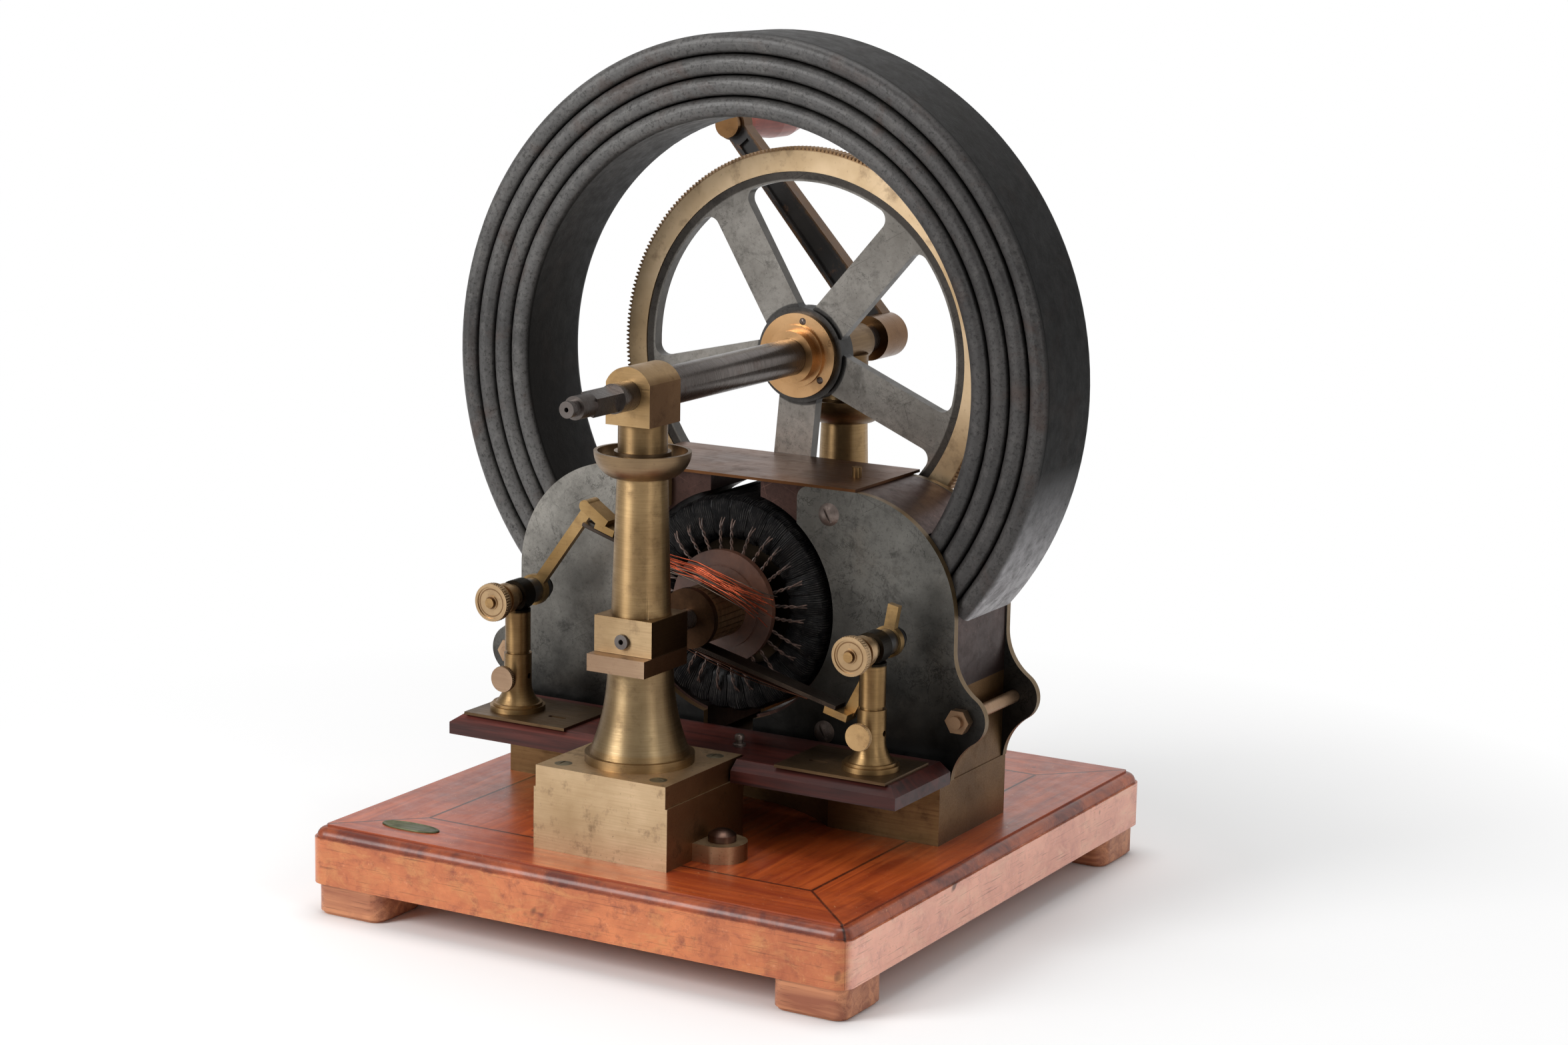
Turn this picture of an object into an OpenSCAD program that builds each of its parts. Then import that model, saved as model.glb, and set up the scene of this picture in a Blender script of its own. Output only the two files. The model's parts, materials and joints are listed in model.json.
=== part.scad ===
// Hand-cranked ring-armature dynamo on a wooden base.
// X runs to the right, Y to the back and Z up; the feet stand on z = 0.

/* [Base] */
// Width of the base board, left to right
board_w = 420; // [380:1:460]
// Depth of the base board, front to back
board_d = 450; // [420:1:500]
// Thickness of the base board
board_t = 40.5; // [34:0.5:48]
// Height of the feet
foot_h = 22; // [12:1:40]
// Side of a foot
foot_w = 54; // [40:1:70]
// How far a foot stands in from the board's edge
foot_inset = 3; // [1:0.5:8]
// Width of the mitred rails around the panel
rail_w = 59; // [40:1:70]
// Rounding of the board's upright corners
corner_r = 11; // [10:0.5:16]
// Radius of the quarter round along the board's top edge
edge_round = 7; // [4:0.5:8]
// Thickness of the panel inside the rails
panel_t = 20; // [12:1:26]
// Width of the ledge that carries the panel
panel_ledge = 12; // [6:1:20]

/* [Bed and terminal board] */
// Half width of the brass bed
bed_half = 174.5; // [160:0.5:185]
// Height of the brass bed
bed_h = 42.5; // [35:0.5:55]
// How far the bed stands out in front of the pole plates
bed_lip = 14; // [10:0.5:20]
// Half width of the hollow in the bed's front
bed_hollow_half = 89; // [70:1:100]
// Depth of the hollow in the bed's front
bed_hollow_depth = 34; // [20:1:45]
// Half width of the terminal board
terminal_half = 178; // [170:1:190]
// Thickness of the terminal board
terminal_t = 14.5; // [10:0.5:18]
// How far the terminal board stands out in front of the bed
terminal_reach = 71; // [60:1:76]
// Width of the bevel along the terminal board's edges
terminal_bevel = 8; // [3:0.5:10]

/* [Magnet] */
// Outer radius of the ring magnet
magnet_r = 234; // [222:1:240]
// Number of leaves in the magnet
leaf_count = 4; // [4:1:4]
// Radial thickness of one leaf
leaf_t = 13.8; // [10:0.1:14]
// Gap between two leaves
leaf_gap = 0.6; // [0.3:0.1:1.5]
// Rounding of a leaf's edges
leaf_round = 6; // [2:0.5:6]
// Width of the magnet, front to back
magnet_w = 73.5; // [60:0.5:84]
// Height of the magnet's centre over the armature's axis
magnet_rise = 159.4; // [152:0.2:168]
// Angle below the horizontal at which the magnet meets its poles
magnet_end = 40; // [36:0.5:44]

/* [Poles] */
// Half width across the poles
pole_half = 175; // [168:0.5:185]
// Height of the pole tops over the armature's axis
pole_top = 89.4; // [86:0.2:96]
// Radius of the poles' round shoulders
pole_arc_r = 82; // [70:1:88]
// Gap between the two pole tips
pole_tip_gap = 40; // [30:1:60]
// Thickness of a pole plate
plate_t = 5.5; // [4:0.5:7]
// Distance from the middle to the upper end of a pole plate
plate_tip_x = 52; // [45:1:60]
// Height of the brass spacers under the poles
spacer_h = 61.5; // [50:0.5:70]
// Height of the tie bolts over the bed
tie_rise = 43.5; // [38:0.5:48]
// Radius of the pads around the tie bolts
tie_pad_r = 18; // [13:0.5:19]
// Radius of a tie bolt
tie_r = 4.5; // [3:0.25:5]
// Width across the flats of a tie bolt's nut
tie_nut = 15.5; // [14:0.5:20]
// Half width of the guard plate over the poles
guard_half = 97; // [88:1:110]
// Thickness of the guard plate
guard_t = 2; // [1:0.25:3]

/* [Armature] */
// Height of the armature's axis over the bed
axis_rise = 100.6; // [99:0.2:108]
// Outer radius of the wound ring
ring_r = 77; // [72:0.5:78]
// Air gap between ring and poles
air_gap = 3; // [1.5:0.25:4]
// Inner radius of the wound ring
ring_in_r = 46; // [42:0.5:52]
// Depth of the winding over the iron core
winding_t = 7; // [5:0.5:9]
// Number of coils on the ring
coil_count = 28; // [20:2:32]
// How far the ring stands out of the poles on each side
ring_overhang = 9; // [5:0.5:9]
// Radius of the armature shaft
arm_shaft_r = 5; // [4:0.25:6]
// Radius of the commutator
commutator_r = 20; // [16:0.5:22]
// Length of the commutator
commutator_l = 45; // [36:1:47]
// Radius of the commutator's flange
flange_r = 40; // [34:0.5:43]
// Thickness of the commutator's flange
flange_t = 5; // [3:0.5:7]

/* [Drive] */
// Tooth module of the gears
gear_module = 1; // [0.98:0.01:1.02]
// Teeth on the large gear
gear_teeth = 292; // [284:4:300]
// Teeth on the pinion
pinion_teeth = 36; // [32:4:40]
// Width of the large gear
gear_w = 11; // [8:0.5:14]
// Radial width of the toothed brass ring
gear_band = 15; // [10:0.5:20]
// Radial width of the wheel's rim
rim_band = 7; // [5:0.5:12]
// Number of spokes
spoke_count = 5; // [5:1:6]
// Width of a spoke
spoke_w = 30; // [20:0.5:34]
// Radius of the wheel's hub
hub_r = 34; // [30:0.5:36]
// Radius of the drive shaft
shaft_r = 13; // [11:0.25:14]
// Radius of the drive shaft's journals
journal_r = 10; // [9.5:0.25:10.5]
// Radius of the drive shaft's threaded tip
tip_r = 5.5; // [4:0.25:6]
// How far the drive shaft stands out in front of its bearing
shaft_stub = 72; // [60:1:85]
// Distance from the drive shaft to the crank pin
crank_r = 199; // [185:1:205]
// Angle of the crank at rest, from the right
crank_angle = 131.5; // [0:0.5:359]
// Length of the crank's handle
grip_l = 80; // [70:1:110]
// Largest radius of the crank's handle
grip_r = 14; // [12:0.5:17]

/* [Pillars] */
// Distance of the front pillar from the board's middle
front_pillar = 135.5; // [134:0.5:142]
// Distance of the rear pillar from the board's middle
rear_pillar = 140; // [138:0.5:146]
// Width of a pillar's block
block_w = 104.6; // [94:0.2:110]
// Depth of a pillar's block
block_d = 98; // [90:0.5:98]
// Thickness of the plate on a pillar's block
top_plate_t = 15; // [10:0.5:20]
// Radius of a column's flange
column_flange_r = 37; // [35:0.5:40]
// Radius of a column under its bearing box
column_mid_r = 22.2; // [20:0.1:24]
// Radius of a column above its bearing box
column_high_r = 20.8; // [19:0.1:22]
// Radius of a column's neck
neck_r = 16.5; // [14:0.25:18]
// Width of a column's bearing box
box_w = 44.8; // [42:0.2:50]
// Height of the bearing box above its lip
box_h = 24.5; // [20:0.5:30]
// Height of the lip under the bearing box
lip_h = 12; // [8:0.5:15]
// How far the lip stands out
lip_reach = 9; // [4:0.5:12]
// Radius of a drip cup
cup_r = 32.5; // [27:0.5:36]
// Height of a drip cup
cup_h = 17; // [12:0.5:20]
// Width of the bearing head on a column
head_w = 34; // [30:0.5:40]
// Depth of the bearing head on a column
head_d = 38; // [34:0.5:44]

/* [Terminals and brushes] */
// Distance of a terminal post from the middle
post_x = 142; // [138:0.5:150]
// Distance from the front pole plates to the posts
post_back = 52.5; // [50:0.5:56]
// Radius of a post's flange
post_flange_r = 19.5; // [16:0.5:21]
// Radius of a post's lower part
post_low_r = 9.75; // [9.25:0.25:10.5]
// Radius of a post's upper part
post_high_r = 9; // [7:0.25:9.5]
// Radius of the wire hole in a post
wire_r = 2; // [1.5:0.1:3]
// Radius of a post's cross head
post_head_r = 11; // [10:0.25:12]
// Radius of the clamping knob
knob_r = 13.25; // [11:0.25:15]
// Radius of the insulating sleeve
sleeve_r = 9; // [7:0.25:10]
// Width of a brush, front to back
brush_w = 14; // [10:0.5:16]
// Thickness of a brush
brush_t = 3; // [2:0.25:4]

/* [Hidden] */

$fn = 72;
// Clearances: a shaft in its bearing, a fixed seat, two curved faces that pass, a joint line
run_gap = 0.06;
seat_gap = 0.1;
clear_gap = 0.4;
joint_line = 0.2;
overlap = 1;
far = 600;

brass = "#a98a4b";
dark_brass = "#7d683c";
bronze = "#b98c4a";
iron = "#3f3d3b";
plate_grey = "#5f605d";
steel = "#6d6a66";
wood_red = "#a8502a";
wood_dark = "#5a2a22";
ebonite = "#1d1b1b";
copper = "#a5522f";
fibre = "#4a3428";

// Heights
deck_z = foot_h + board_t;
bed_top = deck_z + bed_h;
axis_z = bed_top + axis_rise;
drive_z = axis_z + (gear_teeth + pinion_teeth) * gear_module / 2;
magnet_z = axis_z + magnet_rise;
pole_top_z = axis_z + pole_top;
plinth_z = bed_top + top_plate_t;

// Depths of the pole stack, which stands a little behind the board's middle
stack_mid = 22.75;
pole_w = magnet_w + 1;
pole_front = stack_mid - pole_w / 2;
pole_rear = stack_mid + pole_w / 2;
plate_front = pole_front - plate_t;
plate_rear = pole_rear + plate_t;
bed_front = plate_front - bed_lip;
terminal_front = bed_front - terminal_reach;
terminal_rear = plate_front - 6;
terminal_top = bed_top + terminal_t;

// Depths of the gear train
gear_front = plate_rear + 8.5;
gear_rear = gear_front + gear_w;
head_front_y = -front_pillar - head_d / 2;
head_rear_y = rear_pillar + head_d / 2;
stub_tip_y = head_front_y - shaft_stub;
boss_front = head_rear_y + 15;
boss_l = 31;
boss_r = 16.5;
boss_rear = boss_front + boss_l;
arm_t = 12;
arm_rear = boss_rear;
arm_front = arm_rear - arm_t;
grip_front = arm_rear + 1;
grip_rear = grip_front + grip_l;
y_centre = (min(stub_tip_y, -board_d / 2) + max(grip_rear, board_d / 2)) / 2;

// Depths of the armature
ring_front = pole_front - ring_overhang;
ring_rear = pole_rear + ring_overhang;
lead_r = 0.9;
flange_rear = ring_front - 2 * lead_r - clear_gap;
flange_front = flange_rear - flange_t;
commutator_front = flange_front - commutator_l;

// Depths of a terminal post, measured from the post's axis
post_y = plate_front - post_back;
post_head_half = 6;
sleeve_front = post_y + post_head_half + clear_gap;
sleeve_l = 23;
sleeve_rear = sleeve_front + sleeve_l;
brush_mid = sleeve_front + 9.5;
post_head_z = axis_z - 1.5;
knob_rear = -post_head_half - clear_gap;
knob_front = knob_rear - 27;
spindle_r = 3.5;
spindle_out = 2;
spindle_front = spindle_out - knob_front;
spindle_nut_r = 7;
spindle_nut_l = 4;
spindle_rear = sleeve_rear - post_y + clear_gap + spindle_nut_l;

// Carries the whole machine so that the middle of its box lies on the Z axis
module placed() {
    translate([0, -y_centre, 0])
        children();
}

// Upright faces drawn in X and Z, from depth y0 back to depth y1
module along_y(y0, y1) {
    translate([0, y1, 0])
        rotate([90, 0, 0])
            linear_extrude(y1 - y0)
                children();
}

// Round bar along Y
module bar_y(r, y0, y1, x = 0, z = 0) {
    translate([x, y1, z])
        rotate([90, 0, 0])
            cylinder(r = r, h = y1 - y0);
}

// Profile drawn as radius and depth, turned about an axis along Y at height z
module turned_y(z, x = 0) {
    translate([x, 0, z])
        rotate([-90, 0, 0])
            rotate_extrude()
                children();
}

// One step of a turned profile, from depth y0 to depth y1
module step(r0, r1, y0, y1) {
    translate([r0, y0])
        square([r1 - r0, y1 - y0]);
}

// Hollow flare of a turned foot: radius r at its top, wider by spread at its bottom
module flare(r, spread, z0, z1) {
    h = z1 - z0;
    hollow_r = (spread * spread + h * h) / (2 * spread);
    difference() {
        step(0, r + spread, z0, z1);
        translate([r + hollow_r, z1])
            circle(hollow_r);
    }
}

module rounded_rect(w, d, r) {
    square([w - 2 * r, d], center = true);
    square([w, d - 2 * r], center = true);
    for (sx = [-1, 1], sy = [-1, 1])
        translate([sx * (w / 2 - r), sy * (d / 2 - r)])
            circle(r);
}

// Wooden base
edge_step = 1.5;
edge_lip = 1.5;
plain_h = board_t - edge_round - edge_lip;
edge_in = edge_step + edge_round;

module moulded_board() {
    round_x = board_w / 2 - edge_in;
    round_y = board_d / 2 - edge_in;
    corner_in = corner_r - edge_in;
    translate([0, 0, foot_h]) {
        linear_extrude(plain_h)
            rounded_rect(board_w, board_d, corner_r);
        linear_extrude(board_t)
            rounded_rect(2 * round_x, 2 * round_y, corner_in);
        translate([0, 0, plain_h]) {
            for (s = [-1, 1]) {
                translate([0, s * round_y, 0])
                    rotate([0, 90, 0])
                        cylinder(r = edge_round, h = board_w - 2 * corner_r, center = true);
                translate([s * round_x, 0, 0])
                    rotate([90, 0, 0])
                        cylinder(r = edge_round, h = board_d - 2 * corner_r, center = true);
            }
            for (sx = [-1, 1], sy = [-1, 1])
                translate([sx * (board_w / 2 - corner_r), sy * (board_d / 2 - corner_r), 0])
                    rotate_extrude()
                        intersection() {
                            translate([corner_in, 0])
                                circle(edge_round);
                            translate([0, -edge_round])
                                square([corner_in + edge_round, 2 * edge_round]);
                        }
        }
    }
}

// Plan of one mitred rail; half is half the length of its outer edge, reach its distance from the middle
module rail_plan(half, reach) {
    g = joint_line / 2;
    polygon([
        [-half - overlap + g, -reach - overlap],
        [half + overlap - g, -reach - overlap],
        [half - rail_w - overlap - g, -reach + rail_w + overlap],
        [-half + rail_w + overlap + g, -reach + rail_w + overlap]
    ]);
}

module base_frame() {
    color(wood_red)
        difference() {
            intersection() {
                moulded_board();
                union() {
                    for (a = [0, 180])
                        rotate(a)
                            linear_extrude(far)
                                rail_plan(board_w / 2, board_d / 2);
                    for (a = [90, 270])
                        rotate(a)
                            linear_extrude(far)
                                rail_plan(board_d / 2, board_w / 2);
                }
            }
            translate([0, 0, deck_z - panel_t])
                linear_extrude(panel_t + overlap)
                    square([board_w - 2 * rail_w, board_d - 2 * rail_w], center = true);
            linear_extrude(far)
                square(
                    [board_w - 2 * rail_w - 2 * panel_ledge, board_d - 2 * rail_w - 2 * panel_ledge],
                    center = true
                );
        }
}

module base_panel() {
    color(wood_red)
        translate([0, 0, deck_z - panel_t])
            linear_extrude(panel_t)
                square(
                    [board_w - 2 * rail_w - 2 * joint_line, board_d - 2 * rail_w - 2 * joint_line],
                    center = true
                );
}

module base_feet() {
    foot_round = 10;
    sole_bevel = 2;
    fx = board_w / 2 - foot_inset - foot_w / 2;
    fy = board_d / 2 - foot_inset - foot_w / 2;
    color(wood_red)
        for (sx = [-1, 1], sy = [-1, 1])
            translate([sx * fx, sy * fy, 0]) {
                linear_extrude(sole_bevel)
                    rounded_rect(foot_w - 2 * sole_bevel, foot_w - 2 * sole_bevel, foot_round - sole_bevel);
                translate([0, 0, sole_bevel])
                    linear_extrude(foot_h - sole_bevel)
                        rounded_rect(foot_w, foot_w, foot_round);
            }
}

// Brass bed with a hollow front
module bed() {
    h = bed_hollow_depth;
    hollow_r = (bed_hollow_half * bed_hollow_half + h * h) / (2 * h);
    color(dark_brass)
        translate([0, 0, deck_z])
            linear_extrude(bed_h)
                difference() {
                    translate([-bed_half, bed_front])
                        square([2 * bed_half, plate_rear - bed_front]);
                    translate([0, bed_front + h - hollow_r])
                        circle(hollow_r);
                }
}

// Bevelled board for the terminals, notched around the front pillar
notch_half = block_w / 2 + clear_gap;
notch_rear = -front_pillar + block_d / 2 + clear_gap;

module terminal_board() {
    low = terminal_t - terminal_bevel * 0.75;
    color(wood_dark)
        difference() {
            intersection() {
                translate([-terminal_half, 0, bed_top])
                    rotate([90, 0, 90])
                        linear_extrude(2 * terminal_half)
                            polygon([
                                [terminal_front, 0],
                                [terminal_rear, 0],
                                [terminal_rear, terminal_t],
                                [terminal_front + terminal_bevel, terminal_t],
                                [terminal_front, low]
                            ]);
                along_y(terminal_front - overlap, terminal_rear + overlap)
                    translate([0, bed_top])
                        polygon([
                            [-terminal_half, 0],
                            [terminal_half, 0],
                            [terminal_half, low],
                            [terminal_half - terminal_bevel, terminal_t],
                            [-terminal_half + terminal_bevel, terminal_t],
                            [-terminal_half, low]
                        ]);
            }
            translate([-notch_half, terminal_front - overlap, bed_top - overlap])
                cube([2 * notch_half, notch_rear - terminal_front + overlap, terminal_t + 2 * overlap]);
        }
}

terminal_plate_t = 2;
terminal_plate_z = terminal_top + terminal_plate_t;

module terminal_plates() {
    plate_w = 84;
    plate_d = 62;
    slot_l = 14;
    slot_w = 4;
    color(dark_brass)
        for (s = [-1, 1])
            translate([s * (post_x - 16), terminal_front + terminal_bevel / 2 + plate_d / 2, terminal_top])
                linear_extrude(terminal_plate_t)
                    difference() {
                        square([plate_w, plate_d], center = true);
                        translate([-s * plate_w / 4, -plate_d / 8])
                            rounded_rect(slot_l, slot_w, slot_w / 2 - 0.1);
                    }
}

// Pillars, drawn about their own axis with the outer side towards -Y
lug_x = block_w / 2 + 13;
lug_r = 17;
lug_h = 12;
lug_hole_r = 4;
top_screw_x = block_w / 2 - 15;
top_screw_y = block_d / 2 - 13;
top_screw_r = 3;
top_screw_depth = 12;
core_r = 15;
spigot_r = 12;
spigot_h = 8;
box_low = axis_z - 9;
lip_low = box_low - lip_h;
box_top = box_low + box_h;
box_half = box_w / 2;
head_low = drive_z - 20.5;
cup_low = drive_z - 56;

module at_pillars() {
    translate([0, -front_pillar, 0])
        children();
    translate([0, rear_pillar, 0])
        mirror([0, 1, 0])
            children();
}

module pillar_block() {
    translate([0, 0, deck_z])
        difference() {
            union() {
                linear_extrude(bed_h)
                    square([block_w, block_d], center = true);
                linear_extrude(lug_h)
                    for (s = [-1, 1]) {
                        translate([s * lug_x, 0])
                            circle(lug_r);
                        translate([s * (lug_x / 2), 0])
                            square([lug_x, 2 * lug_r], center = true);
                    }
            }
            for (s = [-1, 1])
                translate([s * lug_x, 0, -overlap])
                    cylinder(r = lug_hole_r + seat_gap, h = lug_h + 2 * overlap);
            for (sx = [-1, 1], sy = [-1, 1])
                translate([sx * top_screw_x, sy * top_screw_y, bed_h - top_screw_depth])
                    cylinder(r = top_screw_r + seat_gap, h = top_screw_depth + overlap);
        }
}

module top_plate() {
    inset = 1.5;
    translate([0, 0, bed_top])
        difference() {
            linear_extrude(top_plate_t)
                square([block_w - 2 * inset, block_d], center = true);
            for (sx = [-1, 1], sy = [-1, 1])
                translate([sx * top_screw_x, sy * top_screw_y, -overlap])
                    cylinder(r = top_screw_r + seat_gap, h = top_plate_t + 2 * overlap);
            translate([0, 0, top_plate_t - spigot_h])
                cylinder(r = spigot_r + seat_gap, h = spigot_h + overlap);
        }
}

// Half profile of a column: flange, flare, core through the lip, upper shank and neck
module column_profile() {
    flange_h = 6;
    bead = 3;
    shank_end = 0.5;
    flare_z = plinth_z + flange_h;
    step(0, spigot_r, plinth_z - spigot_h + seat_gap, plinth_z);
    step(0, column_flange_r, plinth_z, flare_z);
    flare(column_mid_r, column_flange_r - bead - column_mid_r, flare_z, lip_low);
    step(0, core_r, lip_low, box_low + overlap);
    polygon([[0, box_low], [column_high_r, box_low], [neck_r + shank_end, cup_low], [0, cup_low]]);
    step(0, neck_r, cup_low, head_low);
    step(0, spigot_r, head_low, head_low + spigot_h - seat_gap);
}

module column() {
    oil_hole_r = 1.5;
    difference() {
        union() {
            rotate_extrude()
                column_profile();
            translate([-box_half, -box_half, box_low])
                cube([box_w, box_w, box_h]);
        }
        bar_y(arm_shaft_r + run_gap, -box_half - overlap, box_half + overlap, 0, axis_z);
        translate([box_half / 2 + 3, -box_half + 7, axis_z + arm_shaft_r + 3])
            cylinder(r = oil_hole_r, h = box_h);
    }
}

module bearing_lip() {
    difference() {
        translate([-box_half, -box_half - lip_reach, lip_low + joint_line])
            cube([box_w, box_w + lip_reach, lip_h - 2 * joint_line]);
        translate([0, 0, lip_low - overlap])
            cylinder(r = core_r + seat_gap, h = lip_h + 2 * overlap);
    }
}

module drip_cup() {
    wall = 2.5;
    floor_t = 4;
    foot_r = neck_r + 5;
    bowl_h = cup_h - floor_t;
    bowl_in = cup_r - foot_r;
    bowl_r = (bowl_in * bowl_in + cup_h * cup_h) / (2 * bowl_in);
    translate([0, 0, cup_low])
        rotate_extrude()
            difference() {
                intersection() {
                    step(neck_r + seat_gap, cup_r, 0, cup_h);
                    translate([cup_r - bowl_r, cup_h])
                        circle(bowl_r);
                }
                intersection() {
                    step(neck_r + wall, cup_r, floor_t, cup_h + overlap);
                    translate([cup_r - bowl_r, cup_h])
                        circle(bowl_r - wall);
                }
            }
}

module head_bores() {
    bar_y(journal_r + run_gap, -head_d, head_d, 0, drive_z);
    translate([0, 0, head_low - overlap])
        cylinder(r = spigot_r + seat_gap, h = spigot_h + overlap);
}

// Upright block with an arched top that is round about the shaft
module arched_head() {
    arch_r = head_w / 2 + 1.7;
    difference() {
        intersection() {
            translate([-head_w / 2, -head_d / 2, head_low])
                cube([head_w, head_d, drive_z - head_low + arch_r]);
            union() {
                bar_y(arch_r, -head_d, head_d, 0, drive_z);
                translate([-head_w, -head_d, 0])
                    cube([2 * head_w, 2 * head_d, drive_z]);
            }
        }
        head_bores();
    }
}

// Round barrel on a short foot
module barrel_head() {
    barrel_r = journal_r + 3.5;
    difference() {
        union() {
            bar_y(barrel_r, -head_d / 2, head_d / 2, 0, drive_z);
            translate([0, 0, head_low])
                cylinder(r = neck_r, h = drive_z - barrel_r / 2 - head_low);
        }
        head_bores();
    }
}

module front_block() {
    color(brass)
        translate([0, -front_pillar, 0])
            pillar_block();
}

module front_column() {
    color(brass)
        translate([0, -front_pillar, 0])
            column();
}

module front_head() {
    color(brass)
        translate([0, -front_pillar, 0])
            arched_head();
}

module rear_block() {
    color(brass)
        translate([0, rear_pillar, 0])
            pillar_block();
}

module rear_column() {
    color(brass)
        translate([0, rear_pillar, 0])
            mirror([0, 1, 0])
                column();
}

module rear_head() {
    color(dark_brass)
        translate([0, rear_pillar, 0])
            barrel_head();
}

module top_plates() {
    color(brass)
        at_pillars()
            top_plate();
}

module bearing_lips() {
    color(brass)
        at_pillars()
            bearing_lip();
}

module drip_cups() {
    color(dark_brass)
        at_pillars()
            drip_cup();
}

// Slotted screw with a low round head, pointing down from z = 0
module slotted_screw(shank_r, shank_l, head_r, head_h, slot_turn = 0) {
    dome_r = (head_r * head_r + head_h * head_h) / (2 * head_h);
    translate([0, 0, -shank_l])
        cylinder(r = shank_r, h = shank_l);
    difference() {
        rotate_extrude()
            intersection() {
                step(0, head_r, 0, head_h);
                translate([0, head_h - dome_r])
                    circle(dome_r);
            }
        rotate(slot_turn)
            translate([-head_r, -head_r / 10, head_h / 2])
                cube([2 * head_r, head_r / 5, head_h]);
    }
}

module pillar_screws() {
    shank_l = top_plate_t + top_screw_depth - 2;
    head_r = 6;
    head_h = 1;
    color(brass)
        at_pillars()
            for (sx = [-1, 1], sy = [-1, 1])
                translate([sx * top_screw_x, sy * top_screw_y, plinth_z])
                    slotted_screw(top_screw_r, shank_l, head_r, head_h, 40 + 50 * sx * sy);
}

module lug_bolts() {
    head_r = 9.5;
    head_h = 4.5;
    dome_h = 4;
    dome_r = (head_r * head_r + dome_h * dome_h) / (2 * dome_h);
    color(steel)
        at_pillars()
            for (s = [-1, 1])
                translate([s * lug_x, 0, deck_z]) {
                    cylinder(r = lug_hole_r, h = lug_h);
                    translate([0, 0, lug_h]) {
                        cylinder(r = head_r, h = head_h);
                        translate([0, 0, head_h])
                            rotate_extrude()
                                intersection() {
                                    step(0, head_r, 0, dome_h);
                                    translate([0, dome_h - dome_r])
                                        circle(dome_r);
                                }
                    }
                }
}

// Poles: outlines of the right-hand side, drawn in X and Z
tip_x = pole_tip_gap / 2;
pole_bore_r = ring_r + air_gap;
plate_bore_r = pole_bore_r + 2;
horn_r = pole_bore_r + 19;
tie_x = pole_half + 7;
tie_z = bed_top + tie_rise;
tie_fillet_r = 38;
split_z = bed_top + spacer_h;
magnet_in_r = magnet_r - leaf_count * leaf_t - (leaf_count - 1) * leaf_gap;

module shoulder_top(half) {
    arc_x = half - pole_arc_r;
    translate([tip_x, bed_top])
        square([arc_x - tip_x, pole_top_z - bed_top]);
    translate([arc_x, pole_top_z - pole_arc_r])
        circle(pole_arc_r);
}

module shoulder_outline(half) {
    shoulder_top(half);
    translate([tip_x, bed_top])
        square([half - tip_x, pole_top_z - pole_arc_r - bed_top]);
}

// Side of a plate with the pad around its tie bolt, blended in by two hollow curves
module padded_side() {
    fx = pole_half + tie_fillet_r;
    span = tie_fillet_r + tie_pad_r;
    dz = sqrt(span * span - (fx - tie_x) * (fx - tie_x));
    k = tie_pad_r / span;
    low = min(bed_top, tie_z - dz) - overlap;
    difference() {
        polygon([
            [tip_x, low],
            [pole_half, low],
            [pole_half, tie_z - dz],
            [tie_x + k * (fx - tie_x), tie_z - k * dz],
            [tie_x, tie_z],
            [tie_x + k * (fx - tie_x), tie_z + k * dz],
            [pole_half, tie_z + dz],
            [pole_half, pole_top_z - pole_arc_r],
            [tip_x, pole_top_z - pole_arc_r]
        ]);
        for (s = [-1, 1])
            translate([fx, tie_z + s * dz])
                circle(tie_fillet_r);
    }
    translate([tie_x, tie_z])
        circle(tie_pad_r);
}

// Space that the end of the magnet takes
module magnet_seat() {
    translate([0, magnet_z])
        difference() {
            polygon([
                [0, 0],
                [far * cos(magnet_end), -far * sin(magnet_end)],
                [far, 0],
                [far, far]
            ]);
            circle(magnet_in_r - clear_gap);
        }
}

plate_screw_x = 77;
plate_screw_rise = 72;
plate_screw_low = 20;
plate_screw_z = [axis_z + plate_screw_rise, bed_top + plate_screw_low];
plate_screw_r = 3.5;
plate_screw_depth = 12;
screw_hole_depth = plate_screw_depth + 2;
guard_pin_x = 75;
guard_pin_r = 3.5;
guard_pin_depth = 12;
guard_pin_out = 7;
body_half = pole_half - 1;

module screw_holes(y0, y1) {
    for (z = plate_screw_z)
        bar_y(plate_screw_r + seat_gap, y0, y1, plate_screw_x, z);
}

module pole() {
    color(iron)
        difference() {
            along_y(pole_front, pole_rear)
                difference() {
                    intersection() {
                        shoulder_outline(body_half);
                        union() {
                            translate([0, split_z])
                                square(far);
                            translate([0, axis_z])
                                circle(horn_r);
                        }
                    }
                    translate([0, axis_z])
                        circle(pole_bore_r);
                    magnet_seat();
                }
            screw_holes(pole_front - overlap, pole_front + screw_hole_depth);
            screw_holes(pole_rear - screw_hole_depth, pole_rear + overlap);
            translate([guard_pin_x, stack_mid, pole_top_z - guard_pin_depth - overlap])
                cylinder(r = guard_pin_r + seat_gap, h = guard_pin_depth + 2 * overlap);
        }
}

module pole_right() {
    pole();
}

module pole_left() {
    mirror([1, 0, 0])
        pole();
}

module pole_spacers() {
    spacer_in = 60;
    color(dark_brass)
        for (m = [0, 1])
            mirror([m, 0, 0])
                difference() {
                    along_y(pole_front, pole_rear)
                        difference() {
                            intersection() {
                                shoulder_outline(body_half);
                                translate([spacer_in, 0])
                                    square([far, split_z]);
                            }
                            translate([0, axis_z])
                                circle(horn_r + seat_gap);
                        }
                    screw_holes(pole_front - overlap, pole_front + screw_hole_depth);
                    screw_holes(pole_rear - screw_hole_depth, pole_rear + overlap);
                }
}

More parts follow.
